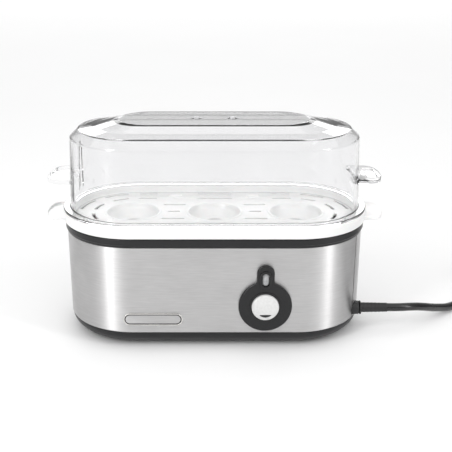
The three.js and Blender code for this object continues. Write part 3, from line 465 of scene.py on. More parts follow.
def grain_group():
    """Fine pimples of a moulded surface: noise at one scale, its height out."""
    group, source, sink = new_group("Moulded Grain", {"Scale": 900.0}, "Height")
    group.links.new(object_noise(group, source["Scale"], 4.0), sink)
    return group


def mottle_group():
    """Broad soft clouds between two values, for colour and gloss that vary over a piece."""
    group, source, sink = new_group("Soft Mottle", {"Scale": 30.0, "Low": 0.0, "High": 1.0}, "Value")
    noise = object_noise(group, source["Scale"])
    ends = {"From Min": 0.3, "From Max": 0.7, "To Min": source["Low"], "To Max": source["High"]}
    group.links.new(add_node(group, "MapRange", {"Value": noise, **ends}).outputs["Result"], sink)
    return group


def brushed_group():
    """Brushed lines that run level round the piece: fine and broad noise, long in X and Y."""
    group, source, sink = new_group("Brushed Lines", {"Scale": 1.0}, "Lines")
    fine = object_noise(group, source["Scale"], 3.0, FINE_LINES)
    broad = object_noise(group, source["Scale"], 2.0, BROAD_LINES)
    mixed = add_node(group, "Mix", {"Factor": 0.5, "A": fine, "B": broad})
    group.links.new(mixed.outputs["Result"], sink)
    return group


def dust_group():
    """Thin dust on faces that look up: the normal's height times clouds."""
    group, source, sink = new_group("Settled Dust", {"Amount": 0.1}, "Mask")
    normal = add_node(group, "NewGeometry").outputs["Normal"]
    height = add_node(group, "SeparateXYZ", {0: normal}).outputs["Z"]
    clouds = object_noise(group, 220.0, 5.0)
    up = add_node(group, "Math", {0: height, 1: clouds}, operation="MULTIPLY", use_clamp=True)
    scaled = add_node(group, "Math", {0: up.outputs[0], 1: source["Amount"]}, operation="MULTIPLY")
    group.links.new(scaled.outputs[0], sink)
    return group


GROUP_MAKERS = {
    "Moulded Grain": grain_group,
    "Soft Mottle": mottle_group,
    "Brushed Lines": brushed_group,
    "Settled Dust": dust_group,
}


def use_group(tree, name, **values):
    """Places a shader group in a material with its own values."""
    group = bpy.data.node_groups.get(name) or GROUP_MAKERS[name]()
    return add_node(tree, "Group", values, node_tree=group).outputs[0]


# ---------------------------------------------------------------- materials

FINISHES = {}
DUST = (0.5, 0.49, 0.47, 1.0)
GLOSS_CLOUDS = 2.3  # how much finer the clouds in the gloss are than those in the colour
LINES_BUMP = 0.5
GRAIN_BUMP = 0.4


def shade(rgb, factor):
    """A colour made lighter or darker, as RGBA."""
    return (*(min(1.0, c * factor) for c in rgb), 1.0)


def two_tone(tree, mask, low, high):
    """A colour that runs from low to high with the mask."""
    inputs = {"Factor": mask, "A": low, "B": high}
    return add_node(tree, "Mix", inputs, data_type="RGBA").outputs["Result"]


def bump(tree, height, strength, distance):
    """A bump normal from a height in millimetres."""
    inputs = {"Height": height, "Strength": strength, "Distance": distance * MM}
    return add_node(tree, "Bump", inputs).outputs["Normal"]


def material(
    name, rgb, rough, tone=0.06, clouds=30.0, grain=0.0, bump_mm=0.02, dust=0.0, lines=False, **plain
):
    """A finish with mottled colour and gloss, grain or brushed lines, dust and plain shader values.

    rough is the lowest and highest roughness, tone how far the colour wanders, and plain holds
    shader sockets that are the same all over.
    """
    if name in FINISHES:
        return FINISHES[name]
    made = FINISHES[name] = bpy.data.materials.new(f"{name}_finish")
    made.use_nodes = True
    tree = made.node_tree
    shader = tree.nodes["Principled BSDF"].inputs
    for label, value in plain.items():
        shader[label.replace("_", " ")].default_value = value
    if lines:
        mask = use_group(tree, "Brushed Lines", Scale=1.0)
        tree.links.new(bump(tree, mask, LINES_BUMP, bump_mm), shader["Normal"])
    else:
        mask = use_group(tree, "Soft Mottle", Scale=clouds, Low=0.0, High=1.0)
    if grain:
        height = use_group(tree, "Moulded Grain", Scale=grain)
        tree.links.new(bump(tree, height, GRAIN_BUMP, bump_mm), shader["Normal"])
    base = two_tone(tree, mask, shade(rgb, 1 - tone), shade(rgb, 1 + tone))
    if dust:
        base = two_tone(tree, use_group(tree, "Settled Dust", Amount=dust), base, DUST)
    gloss = use_group(tree, "Soft Mottle", Scale=clouds * GLOSS_CLOUDS, Low=rough[0], High=rough[1])
    tree.links.new(base, shader["Base Color"])
    tree.links.new(gloss, shader["Roughness"])
    return made


def colours():
    """The colours set in the sidebar."""
    return bpy.context.scene.egg_cooker_colours


def brushed_steel():
    """Sheet steel brushed along its length."""
    shine = {"Metallic": 1.0, "Anisotropic": 0.9, "Anisotropic_Rotation": 0.25}
    return material(
        "brushed_steel", colours().steel, (0.42, 0.48), tone=0.17, lines=True, bump_mm=0.004, **shine
    )


def satin_black():
    """Moulded black plastic with a fine satin grain."""
    black = shade(colours().black, 0.55)[:3]
    look = {"tone": 0.12, "grain": 1400.0, "bump_mm": 0.03, "dust": 0.01}
    return material("satin_black", black, (0.30, 0.40), Specular_IOR_Level=0.35, **look)


def gloss_black():
    """Polished black plastic."""
    black = shade(colours().black, 0.35)[:3]
    look = {"tone": 0.1, "grain": 260.0, "bump_mm": 0.01}
    return material("gloss_black", black, (0.10, 0.16), Specular_IOR_Level=0.4, **look)


def white_plastic():
    """Moulded white plastic, faintly translucent."""
    soft = {"Subsurface_Weight": 0.04, "Subsurface_Scale": 0.002}
    return material("white_plastic", colours().white, (0.30, 0.40), tone=0.015, grain=700.0, **soft)


def clear_plastic():
    """Clear plastic that lets lamps through to what it covers."""
    glass = {"Transmission_Weight": 1.0, "IOR": 1.49}
    made = material("clear_plastic", colours().clear, (0.0, 0.015), tone=0.01, clouds=18.0, **glass)
    tree = made.node_tree
    through = add_node(tree, "BsdfTransparent", {"Color": (0.96, 0.96, 0.96, 1.0)}).outputs["BSDF"]
    path = add_node(tree, "LightPath").outputs
    surface = tree.nodes["Principled BSDF"].outputs["BSDF"]
    for ray in ("Is Shadow Ray", "Is Diffuse Ray"):
        surface = add_node(tree, "MixShader", {"Fac": path[ray], 1: surface, 2: through}).outputs[0]
    tree.links.new(surface, tree.nodes["Material Output"].inputs["Surface"])
    return made


def cord_sheath():
    """Glossy black cord sheath."""
    return material("cord_sheath", colours().cord, (0.18, 0.28), tone=0.1, grain=500.0, bump_mm=0.01)


def cord_moulding():
    """Matt black rubber of the bushing, plug and tie."""
    return material("cord_moulding", colours().cord, (0.5, 0.6), tone=0.15, grain=1100.0, bump_mm=0.03)


def bright_metal():
    """Plated metal of pins, screws and blades."""
    return material(
        "bright_metal", (0.70, 0.69, 0.67), (0.16, 0.28), grain=700.0, bump_mm=0.005, Metallic=1.0
    )


def steel_with_painted_shade():
    """Pressed stainless steel of the pan, its colour darkened as painted shade for the dim inside of the
    cooker.
    """
    return material("steel_with_painted_shade", (0.30, 0.295, 0.29), (0.2, 0.3), grain=90.0, Metallic=1.0)


# ---------------------------------------------------------------- stage

CAMERA_ELEVATION = 20.0
CAMERA_DISTANCE = 629.0
CAMERA_TARGET_Z = 76.35
CAMERA_LENS = 66.27
CAMERA_SHIFT_X = 0.0254
FILL = 0.46  # brightness of the studio in front and behind
SIDE_FILL = 0.20  # brightness of the studio at the sides
LAMPS = (
    # name, place (m), aimed at (m), width and height (m), power (W)
    ("left_softbox", (-0.80, -0.86, 0.60), (0.0, 0.0, 0.10), (0.26, 1.1), 6.5),
    ("right_softbox", (1.05, -0.62, 0.60), (0.0, 0.0, 0.10), (0.14, 1.1), 5.0),
    ("back_softbox", (0.0, 4.60, 1.85), (0.0, 0.0, 0.15), (5.0, 1.1), 44.0),
)
SUN_STRENGTH = 1.35
SUN_ANGLE = 100.0
SUN_TILT = 12.0
FLOOR_REACH = 6000.0
FLOOR_THICKNESS = 20.0


def add_lamp(name, place, aim, spread, power):
    """A rectangular softbox aimed at a point."""
    data = bpy.data.lights.new(name, "AREA")
    data.shape = "RECTANGLE"
    data.size, data.size_y = spread
    data.energy = power
    lamp = bpy.data.objects.new(name, data)
    lamp.location = place
    lamp.rotation_euler = (Vector(aim) - Vector(place)).to_track_quat("-Z", "Y").to_euler()
    bpy.context.scene.collection.objects.link(lamp)


class EGGCOOKER_OT_stage(bpy.types.Operator):
    """Camera, pale floor and soft studio light."""

    bl_idname = "egg_cooker.stage"
    bl_label = "Stage"

    def execute(self, context):
        scene = context.scene
        data = bpy.data.cameras.new("camera")
        data.lens = CAMERA_LENS
        data.shift_x = CAMERA_SHIFT_X
        camera = bpy.data.objects.new("camera", data)
        tilt = math.radians(CAMERA_ELEVATION)
        back = CAMERA_DISTANCE * math.cos(tilt)
        rise = CAMERA_TARGET_Z + CAMERA_DISTANCE * math.sin(tilt)
        camera.location = (0.0, (AXIS_Y - back) * MM, rise * MM)
        camera.rotation_euler = (math.pi / 2 - tilt, 0.0, 0.0)
        scene.collection.objects.link(camera)
        scene.camera = camera
        for lamp in LAMPS:
            add_lamp(*lamp)
        sun = bpy.data.lights.new("ceiling", "SUN")
        sun.energy = SUN_STRENGTH
        sun.angle = math.radians(SUN_ANGLE)
        ceiling = bpy.data.objects.new("ceiling", sun)
        ceiling.rotation_euler = (math.radians(SUN_TILT), 0.0, 0.0)
        scene.collection.objects.link(ceiling)
        scene.world = self.studio()
        scene.view_settings.view_transform = "Standard"
        slab = block((-FLOOR_REACH, -FLOOR_REACH, -FLOOR_THICKNESS), (FLOOR_REACH, FLOOR_REACH, 0))
        floor = piece("floor", [slab], self.floor_look(), None)
        return {"FINISHED"}

    def studio(self):
        """A soft room: brighter in front and behind, darker where the sideways direction nears 1."""
        world = bpy.data.worlds.new("studio")
        world.use_nodes = True
        tree = world.node_tree
        direction = add_node(tree, "TexCoord").outputs["Generated"]
        sideways = add_node(tree, "SeparateXYZ", {0: direction}).outputs["X"]
        side = add_node(tree, "Math", {0: sideways}, operation="ABSOLUTE").outputs[0]
        ends = {"From Min": 0.7, "From Max": 0.95, "To Min": FILL, "To Max": SIDE_FILL}
        fall = add_node(tree, "MapRange", {"Value": side, **ends}, interpolation_type="SMOOTHSTEP")
        background = tree.nodes["Background"].inputs
        tree.links.new(fall.outputs["Result"], background["Strength"])
        background["Color"].default_value = (1.0, 1.0, 1.0, 1.0)
        return world

    def floor_look(self):
        """Plain pale floor."""
        return material("pale_floor", colours().floor, (0.6, 0.7), tone=0.004, clouds=2.0)


# ---------------------------------------------------------------- housing


BELLY = 7.3  # how far the base's foot lies inside its top
BELLY_POWER = 2.4
LIP = 3.0
WELL = [(0, -2), (3.1, -2), (3.1, 2.4), (1.8, 2.4), (1.8, 9), (0, 9)]


def base_outline():
    """Half depth and height round the base's wall: out along its belly, in over its lip."""
    top_r = half_depth("base_shell")
    foot_r = top_r - BELLY
    rise = np.linspace(0, 1, 14)
    belly_r = foot_r + (top_r - foot_r) * (1 - (1 - rise) ** BELLY_POWER)
    belly = np.column_stack([belly_r, Z_BASE + (Z_BAND - Z_BASE) * rise])
    outer, inner, top = top_r - 0.4, top_r - 2.9, Z_BAND + LIP
    floor = [(0, Z_BASE + 1, 0), (foot_r - 3, Z_BASE + 1, 0.4), (foot_r - 2.4, Z_BASE, 0.4), (*belly[0], 0)]
    rim = [(*belly[-1], 0), (outer, Z_BAND, 0.1), (outer, top, 0.3), (inner, top, 0.3)]
    rim += [(inner, Z_BASE + 5, 1), (foot_r - 2.5, Z_BASE + 3.6, 1), (0, Z_BASE + 3.6, 0)]
    return np.concatenate([rounded(floor)[:-1], belly, rounded(rim)[1:]])


class EGGCOOKER_OT_base(bpy.types.Operator):
    """Black base with its rubber feet and screws."""

    bl_idname = "egg_cooker.base"
    bl_label = "Base"

    def execute(self, context):
        outline = sweep(base_outline(), closed=False)
        base = piece("base", [outline], satin_black(), "housing", ["base_shell"])
        screws = [node_centre(f"base_screw_{i}") for i in range(1, 5)]
        wells = [shift(turned(WELL), x, y, Z_BASE) for x, y, _ in screws]
        combine(base, wells + [outlet_cutter()], "DIFFERENCE")
        for number, centre in enumerate(screws, 1):
            self.foot(number)
            self.screw(number, centre)
        return {"FINISHED"}

    def foot(self, number):
        """A round rubber pad with a soft lower edge."""
        node = f"foot_{number}"
        low, high = node_box(node)
        x, y, _ = node_centre(node)
        pad = (high[0] - low[0]) / 2
        rubber = material("foot_rubber", (0.03, 0.03, 0.03), (0.65, 0.8), grain=1500.0, bump_mm=0.04)
        outline = rounded([(0, 0, 0), (pad - 1.6, 0, 0.4), (pad, 0.9, 0.8), (pad, 3.2, 0.2), (0, 3.2, 0)])
        piece(f"rubber_foot_{number}", [shift(turned(outline), x, y)], rubber, "housing", [node])

    def screw(self, number, centre):
        """A pan-head screw with a cross recess."""
        node = f"base_screw_{number}"
        low, high = node_box(node)
        x, y, _ = centre
        z, tip = low[2], high[2]
        head = [(0, z, 0), (2.0, z, 0.5), (2.8, z + 1.0, 0.5), (2.8, z + 1.5, 0.1), (1.5, z + 1.5, 0)]
        outline = rounded(head + [(1.5, tip - 1, 0), (0, tip, 0)])
        made = piece(f"screw_{number}", [shift(turned(outline), x, y)], bright_metal(), "housing", [node])
        arms = [
            block((x - a, y - b, z - 1), (x + a, y + b, z + 0.8)) for a, b in ((1.7, 0.3), (0.3, 1.7))
        ]
        combine(made, arms, "DIFFERENCE")


OUTLET = (11.6, 10.0)  # width and height of the notch for the cord's bushing
SEAM_ANGLE = math.radians(30)
SEAM_WIDTH = 0.9
WINDOW_RADIUS = 12.0  # hole in the band behind the button


def outlet_cutter():
    """The oval notch that the cord's bushing sits in."""
    _, y, z = cord_exit()
    return face_right(plate([oval(0, 0, *OUTLET)], 30, 0.01), node_box("cord_gland")[0][0] + 6, y, z)


class EGGCOOKER_OT_band(bpy.types.Operator):
    """Brushed steel band, rolled from one sheet with its seam on the right end."""

    bl_idname = "egg_cooker.band"
    bl_label = "Steel band"

    def execute(self, context):
        inner = BODY_R - size(context, "band_thickness")
        low, high = BAND_LOW[2], BAND_HIGH[2]
        corners = [(inner, low, 0.1), (BODY_R - 0.35, low, 0.2), (BODY_R, low + 0.6, 0.4)]
        corners += [(BODY_R, high, 0.1), (inner, high, 0.1)]
        outline = sweep(rounded(corners, closed=True), steps=64)
        band = piece("band", [outline], brushed_steel(), "housing", ["steel_band"])
        points, faces = block((0, -SEAM_WIDTH / 2, low - 1), (BODY_R + 2, SEAM_WIDTH / 2, high + 1))
        c, s = math.cos(SEAM_ANGLE), math.sin(SEAM_ANGLE)
        turn = np.array([[c, s, 0], [-s, c, 0], [0, 0, 1]])
        seam = shift((points @ turn.T, faces), SPREAD)
        x, _, z = node_centre("push_button")
        hole = turned([(0, -6), (WINDOW_RADIUS, -6), (WINDOW_RADIUS, 6), (0, 6)], 32)
        combine(band, [seam, outlet_cutter(), face_front(hole, x, -BODY_R, z)], "DIFFERENCE")
        return {"FINISHED"}


PILLAR = (1.8, 3.2)  # inner and outer radius of a screw pillar
RIB = 1.2  # half the thickness of the rib that holds it


class EGGCOOKER_OT_ring(bpy.types.Operator):
    """Black ring on the band, with its screw pillars."""

    bl_idname = "egg_cooker.ring"
    bl_label = "Ring"

    def execute(self, context):
        inner = RING_R - size(context, "ring_wall")
        seat = PAN_RIM_R + GAP
        corners = [
            (inner, Z_RING, 0.3), (RING_R - 0.9, Z_RING, 0.3), (RING_R - 0.6, Z_RING + 1.5, 0.3),
            (RING_R, Z_RING + 2.1, 0.5), (RING_R, Z_PAN - 0.8, 0.8), (RING_R - 0.8, Z_PAN, 0.6),
            (seat, Z_PAN, 0.2), (seat, Z_PAN - 1.4, 0), (inner, Z_PAN - 1.4, 0.2),
        ]
        low = node_box("top_ring")[0][2]
        top = PAN_BOTTOM - 2
        bore, wall = PILLAR
        post = rounded([(bore, low, 0), (wall, low, 0.3), (wall, top, 0.3), (bore, top, 0)], closed=True)
        x, y, _ = np.abs(node_centre("base_screw_1"))
        parts = [sweep(rounded(corners, closed=True))]
        for px, py in np.array(CORNERS) * (x, y):
            parts.append(shift(turned(post, closed=True), px, py))
            outer = math.copysign(inner + 1, py)
            for start, bottom, height in (
                (py, Z_BAND + 8, top),
                (math.copysign(inner - 4, py), top - 1, Z_PAN - 2),
            ):
                near, far = sorted((start, outer))
                parts.append(block((px - RIB, near, bottom), (px + RIB, far, height)))
        piece("ring", parts, satin_black(), "housing", ["top_ring"])
        return {"FINISHED"}


class EGGCOOKER_OT_pan(bpy.types.Operator):
    """Pressed steel water pan."""

    bl_idname = "egg_cooker.pan"
    bl_label = "Water pan"

    def execute(self, context):
        wall = size(context, "pan_wall")
        outer = BODY_R - 9
        inner = outer - wall
        floor = PAN_BOTTOM + wall
        high = node_box("water_pan")[1][2]
        corners = [
            (0, PAN_BOTTOM, 0), (outer - 0.5, PAN_BOTTOM, 5), (outer, high - wall, 0.6),
            (PAN_RIM_R, high - wall, 0.1), (PAN_RIM_R, high, 0.3),
            (inner, high, 1.4), (inner - 0.5, floor, 4.2), (0, floor, 0),
        ]
        outline = sweep(rounded(corners), closed=False)
        # The pan's steel is darkened as painted shade, so the slots and cup holes read dark.
        piece("pan", [outline], steel_with_painted_shade(), "housing", ["water_pan"])
        return {"FINISHED"}


# ---------------------------------------------------------------- tray

ROW_OUTER = 4.4
ROW_INNER = 15.8
CUP_DEPTH = 8.4
CUP_SEAT = 12.0
CUP_LIP = 1.6
BOSS_PLACE = (30.5, 37.0)
GRIP_DEPTH = 35.0
GRIP_THICKNESS = 2.6
GRIP_DROP = 4.9
CORNERS = ((1, 1), (-1, 1), (1, -1), (-1, -1))


class EGGCOOKER_OT_tray(bpy.types.Operator):
    """White egg tray: a dish with a skirt, three cups, steam slots and two grips."""

    bl_idname = "egg_cooker.tray"
    bl_label = "Egg tray"

    def execute(self, context):
        wall = size(context, "tray_wall")
        floor = Z_RIM - size(context, "floor_drop")
        opening = size(context, "cup_opening") / 2
        pitch = size(context, "cup_pitch")
        cups = (-pitch, 0, pitch)
        dish = RIM_R - 6.4
        parts = [sweep(self.rim(wall, dish, floor))]
        outlines = [long_outline(dish - 0.9)] + [disc(x, 0, opening + 1.0) for x in cups]
        outlines += self.slots(size(context, "slot_width"), pitch, dish)
        parts.append(shift(plate(outlines, wall, 0.3), z=floor - wall / 2))
        cup = self.cup(opening, size(context, "cup_hole") / 2, wall, floor)
        parts += [shift(cup, x) for x in cups]
        boss = rounded([(5.2, -0.4, 0), (5.2, 0.0, 0), (4.2, 0.9, 1.5), (0, 1.5, 0)])
        boss = turned(np.concatenate([[(0, -0.4)], boss]))
        parts += [shift(boss, x, y, floor) for x, y in np.array(CORNERS) * BOSS_PLACE]
        root = SPREAD + RIM_R - 1.5
        for side in (-1, 1):
            outline = tab_outline(root, TRAY_HIGH[0] - root, GRIP_DEPTH, side)
            parts.append(shift(plate([outline], GRIP_THICKNESS, 0.6), z=Z_RIM - GRIP_DROP))
        piece("tray", parts, white_plastic(), "tray", ["egg_tray"])
        return {"FINISHED"}

    def rim(self, wall, dish, floor):
        """Section of the rim: skirt outside, dish wall inside, a rolled edge between."""
        low, under = Z_PAN + GAP, Z_RIM - wall
        outer, lap, skirt = dish + wall, dish - 2.4, RIM_R - 0.7
        corners = [
            (lap, floor - wall, 0.3), (outer, floor - wall, 1.6), (outer, under, 0.6),
            (skirt - wall, under, 0.8), (skirt - wall, low, 0.4), (skirt, low, 0.5),
            (RIM_R, Z_RIM - 1.4, 0.8), (RIM_R - 0.5, Z_RIM, 0.8), (dish, Z_RIM, 1.0),
            (dish - 0.6, floor, 1.6), (lap, floor, 0.3),
        ]
        return rounded(corners, closed=True)

    def cup(self, r, hole, wall, floor):
        """An egg cup: a rolled lip, a round wall and an open seat."""
        bottom, under, over = floor - CUP_DEPTH, floor - wall, floor + 0.35
        lip = r + CUP_LIP + 0.6
        corners = [
            (hole, bottom - wall, 0.4), (CUP_SEAT + 1, bottom - wall, 4),
            (r + wall * 0.8, floor - 3.4, 5), (r + wall, under, 0.5), (lip, under, 0.2),
            (lip, over, 0.3), (r, over, 1.2), (r - 1.2, floor - 3.0, 5),
            (CUP_SEAT, bottom, 4), (hole, bottom, 0.5),
        ]
        return turned(rounded(corners, closed=True), steps=40, closed=True)

    def slots(self, width, pitch, dish):
        """Outlines of the steam slots: between the cups, in rows beside them and round the ends."""
        found = []
        for x in (-pitch / 2, pitch / 2):
            found.append(oval(x, 0, 9.4, width))
            found += [oval(x, y, 17, width) for y in (15.6, -15.6)]
        beside = pitch * 0.86
        outer, inner = dish - ROW_OUTER, dish - ROW_INNER
        for y in (outer, inner, -outer, -inner):
            found += [oval(x, y, long, width) for x, long in ((0, 28), (-beside, 15), (beside, 15))]
        for end in (-1, 1):
            for radius, half, middle in ((outer, 12, 64), (outer, 14, 22), (inner, 10, 63), (inner, 11, 21)):
                found += [arc_slot(end, radius, width, side * middle, half) for side in (-1, 1)]
        return found


# ---------------------------------------------------------------- lid

SHOULDER_DROP = 12.0
LEDGE_DROP = 6.0
CROWN_DROP = 4.2
LUG_DEPTH = 41.0
LUG_HEIGHT = 21.6
LUG_THICKNESS = 2.8
VENT_SPACING = 26.0
LID_SHARP = 40  # degrees


class EGGCOOKER_OT_lid(bpy.types.Operator):
    """Clear lid with two lugs and two steam vents."""

    bl_idname = "egg_cooker.lid"
    bl_label = "Lid"

    def execute(self, context):
        profile, spread = self.shell(size(context, "lid_wall"), FLANGE_R - size(context, "lid_flange"))
        outline = sweep(profile, spread, steps=64)
        lid = piece("clear_lid", [outline], clear_plastic(), "lid", ["lid"], sharp=LID_SHARP)
        z = Z_RIM + LUG_HEIGHT + LUG_THICKNESS / 2
        root = SPREAD + FLANGE_R - size(context, "lid_flange") - 1.6
        reach = LID_HIGH[0] - root
        lugs, cuts = [], []
        for side in (-1, 1):
            lug = plate([tab_outline(root, reach, LUG_DEPTH, side)], LUG_THICKNESS, 0.6)
            dimple = plate([box_outline(side * (root + reach * 0.55), 0, reach * 0.5, 24, 3)], 2, 0.5)
            lugs.append(shift(lug, z=z))
            cuts.append(shift(dimple, z=z + LUG_THICKNESS / 2))
        combine(lid, lugs, "UNION", LID_SHARP)
        vent = size(context, "vent_diameter") / 2
        foot, edge = -0.5, vent + 1.3
        collar = turned(rounded([(0, foot, 0), (edge, foot, 0), (edge, VENT_LIP, 0.3), (0, VENT_LIP, 0)]))
        bore = turned([(0, -6), (vent, -6), (vent, 3), (0, 3)])
        places = (-VENT_SPACING / 2, VENT_SPACING / 2)
        combine(lid, [shift(collar, x, 0, Z_TOP) for x in places], "UNION", LID_SHARP)
        cuts += [shift(bore, x, 0, Z_TOP) for x in places]
        combine(lid, cuts, "DIFFERENCE", LID_SHARP)
        return {"FINISHED"}

    def shell(self, wall, side):
        """Section of the lid, up its outside and down its inside, with the spread at each point."""
        top = side - 1.8
        ledge = top - 6.2
        crown = ledge - 9.4
        peak = crown - 8.0
        foot_z, under = Z_FLANGE + 1.8, Z_TOP - wall
        shoulder_z, ledge_z, crown_z = Z_TOP - SHOULDER_DROP, Z_TOP - LEDGE_DROP, Z_TOP - CROWN_DROP
        outer = [
            (FLANGE_R, Z_FLANGE, 0.2), (FLANGE_R, Z_FLANGE + 1.6, 0.6), (side + 0.2, foot_z, 0.8),
            (top, shoulder_z, 1.6), (ledge, ledge_z, 1.2), (crown, crown_z, 1.4),
            (peak, Z_TOP, 1.2), (0, Z_TOP, 0),
        ]
        inner = [
            (0, under, 0), (peak - 0.8, under, 1.2), (crown - 0.8, crown_z - wall, 1.4),
            (ledge - 1.2, ledge_z - wall, 1.2), (top - wall, shoulder_z - 0.9, 1.4),
            (side - wall, foot_z, 0.2), (side - wall, Z_FLANGE, 0.2), (FLANGE_R, Z_FLANGE, 0),
        ]
        profile = np.concatenate([rounded(outer), rounded(inner)[:-1]])
        return profile, self.spread(profile[:, 1], ledge_z, crown_z)

    def spread(self, z, ledge_z, crown_z):
        """Half the straight length at a height: it shrinks over the ledge and the crown's ends."""
        ledge = 3.0 * np.clip((z - ledge_z) / (crown_z - ledge_z), 0, 1)
        crown = 9.0 * np.clip((z - crown_z) / (Z_TOP - crown_z), 0, 1)
        return SPREAD - ledge - crown


# ---------------------------------------------------------------- controls

BEZEL_PROUD = 2.4
BEZEL_EDGE = 1.1
NECK_WIDTH = 12.6
NECK_FILLET = 2.6
STEM_RADIUS = 3.6
MARK_RADIUS = 5.6
MARK_HEIGHT = 2.3
MARK_STEPS = 21


class EGGCOOKER_OT_controls(bpy.types.Operator):
    """Black bezel, white button, lamp window and badge."""

    bl_idname = "egg_cooker.controls"
    bl_label = "Controls"

    def execute(self, context):
        low, high = node_box("switch_bezel")
        x, _, z = node_centre("push_button")
        radius = (high[0] - low[0]) / 2
        button = size(context, "button_diameter") / 2
        lens = node_centre("lamp_lens")[2]
        lens_low, lens_high = node_box("lamp_lens")
        lens_size = (lens_high - lens_low)[[0, 2]]
        up = lens - z
        outline = self.bezel_outline(radius, high[2] - z)
        holes = [disc(0, 0, button + GAP), oval(0, up, *(lens_size + 2 * GAP))]
        face = plate([outline, *holes], BEZEL_PROUD, BEZEL_EDGE, steps=5)
        surround = [oval(0, up, NECK_WIDTH - 3.6, lens_size[1] + 4.4), oval(0, up, *(lens_size + 0.4))]
        inner, outer = button + GAP, button + 1.6
        corners = [(inner, 0, 0.2), (outer, 0, 0.3), (outer, 0.5, 0.3), (inner, 0.5, 0.2)]
        collar = turned(rounded(corners, closed=True), steps=48, closed=True)
        behind = -BODY_R - GAP
        parts = [
            face_front(face, x, behind - BEZEL_PROUD / 2, z),
            face_front(plate(surround, 1.6, 0.5), x, behind - BEZEL_PROUD - 0.2, z),
            face_front(collar, x, behind - BEZEL_PROUD, z),
        ]
        piece("bezel", parts, gloss_black(), "housing", ["switch_bezel"])
        self.window(x, lens, lens_size)
        self.button(x, z, button)
        self.badge()
        return {"FINISHED"}

    def bezel_outline(self, radius, top):
        """A disc with a round-topped neck above it, with a small fillet in each corner between."""
        w, fillet = NECK_WIDTH / 2, NECK_FILLET
        reach = math.sqrt((radius + fillet) ** 2 - (w + fillet) ** 2)
        a = math.atan2(reach, w + fillet)
        arcs = (
            # centre, radius, first and last angle, steps
            ((0, 0), radius, math.pi - a, 2 * math.pi + a, 90),
            ((w + fillet, reach), fillet, math.pi + a, math.pi, 9),
            ((0, top - w), w, 0, math.pi, 25),
            ((-w - fillet, reach), fillet, 0, -a, 9),
        )
        return np.concatenate(
            [centre + polar(np.linspace(*ends, endpoint=False), r) for centre, r, *ends in arcs]
        )

    def window(self, x, z, lens_size):
        """The lamp's milky window."""
        look = material(
            "lamp_window", (0.62, 0.63, 0.64), (0.12, 0.2), 0.25, 420.0, grain=500.0, Transmission_Weight=0.35
        )
        pane = plate([oval(0, 0, *lens_size)], 4.4, 0.7)
        piece("lamp_pane", [face_front(pane, x, -BODY_R + 0.2, z)], look, "housing", ["lamp_lens"])

    def dome(self, radius, r):
        """How far the button's face falls back at a distance from its middle."""
        return 2.1 * (np.asarray(r) / radius) ** 2.6

    def button(self, x, z, radius):
        """A domed white button with a dark crescent inlaid low on its face."""
        low, high = node_box("push_button")
        face, back, shoulder = AXIS_Y - low[1], AXIS_Y - high[1], BODY_R - 1.5
        r = np.linspace(0, radius - 0.25, 16)
        crown = np.column_stack([r, face - self.dome(radius, r)])
        side = [(radius, face - 2.7), (radius, shoulder), (STEM_RADIUS, shoulder), (STEM_RADIUS, back)]
        shell = turned(np.concatenate([crown, side, [(0, back)]]), 32)
        look = material("button_plastic", (0.66, 0.66, 0.655), (0.3, 0.4), clouds=700.0, grain=420.0)
        piece("button", [face_front(shell, x, 0, z)], look, "button", ["push_button"])
        outer = polar(np.radians(np.linspace(-142, -38, MARK_STEPS)), MARK_RADIUS)
        lift = MARK_HEIGHT * np.sin(np.linspace(0, math.pi, MARK_STEPS))
        across = np.linspace(0, 1, 5)
        rise = np.concatenate([across, across[::-1]]) * lift[:, None]
        place = np.stack([np.broadcast_to(outer[:, :1], rise.shape), outer[:, 1:] - 1.4 + rise], axis=-1)
        fall = self.dome(radius, np.linalg.norm(place, axis=-1))
        proud = np.repeat([-0.1, 0.08], 5)
        points = np.concatenate([place, (face - fall + proud)[..., None]], axis=-1)
        mark = (points.reshape(-1, 3), grid_faces(*rise.shape))
        piece("button_mark", [face_front(mark, x, 0, z)], gloss_black(), "button")

    def badge(self):
        """A plain oval plate with a raised rim round a sunk dark line."""
        low, high = node_box("badge_plate")
        x, _, z = node_centre("badge_plate")
        full = (high - low)[[0, 2]]
        plates = (
            # name, look, how much smaller its outlines are, thickness, edge, how proud it stands
            ("badge_rim", bright_metal(), (0, 1.6), 0.9, 0.25, 0.5),
            ("badge_ground", gloss_black(), (1.2,), 0.5, 0.1, 0.25),
            ("badge_face", brushed_steel(), (3.0,), 0.8, 0.2, 0.4),
        )
        for name, look, insets, thickness, edge, proud in plates:
            part = plate([oval(0, 0, *(full - inset), 16) for inset in insets], thickness, edge)
            nodes = ["badge_plate"] if name == "badge_face" else ()
            piece(name, [face_front(part, x, -BODY_R - GAP - proud + 0.25, z)], look, "housing", nodes)


# ---------------------------------------------------------------- cord

RELIEF_LENGTH = 20.0
RELIEF_START = 4.6  # from where the cord leaves the body to the root of its relief
CLEARANCE = 0.05  # between the cord and the table


def cord_exit():
    """Where the cord leaves the body, in millimetres, with Y from the body's axis."""
    _, y, z = node_centre("cord_gland")
    return node_box("power_cord")[0][0] - GAP - RELIEF_LENGTH - RELIEF_START, y, z


def through(points, steps=8):
    """A smooth curve through points: a uniform Catmull-Rom spline, sampled in even steps."""
    p = np.asarray(points, float)
    p = np.vstack([2 * p[0] - p[1], p, 2 * p[-1] - p[-2]])
    a, b, c, d = p[:-3], p[1:-2], p[2:-1], p[3:]
    t = np.linspace(0, 1, steps, endpoint=False)[:, None, None]
    curve = 2 * b + (c - a) * t + (2 * a - 5 * b + 4 * c - d) * t**2 + (3 * b - a - 3 * c + d) * t**3
    return np.vstack([0.5 * curve.transpose(1, 0, 2).reshape(-1, 3), p[-2]])


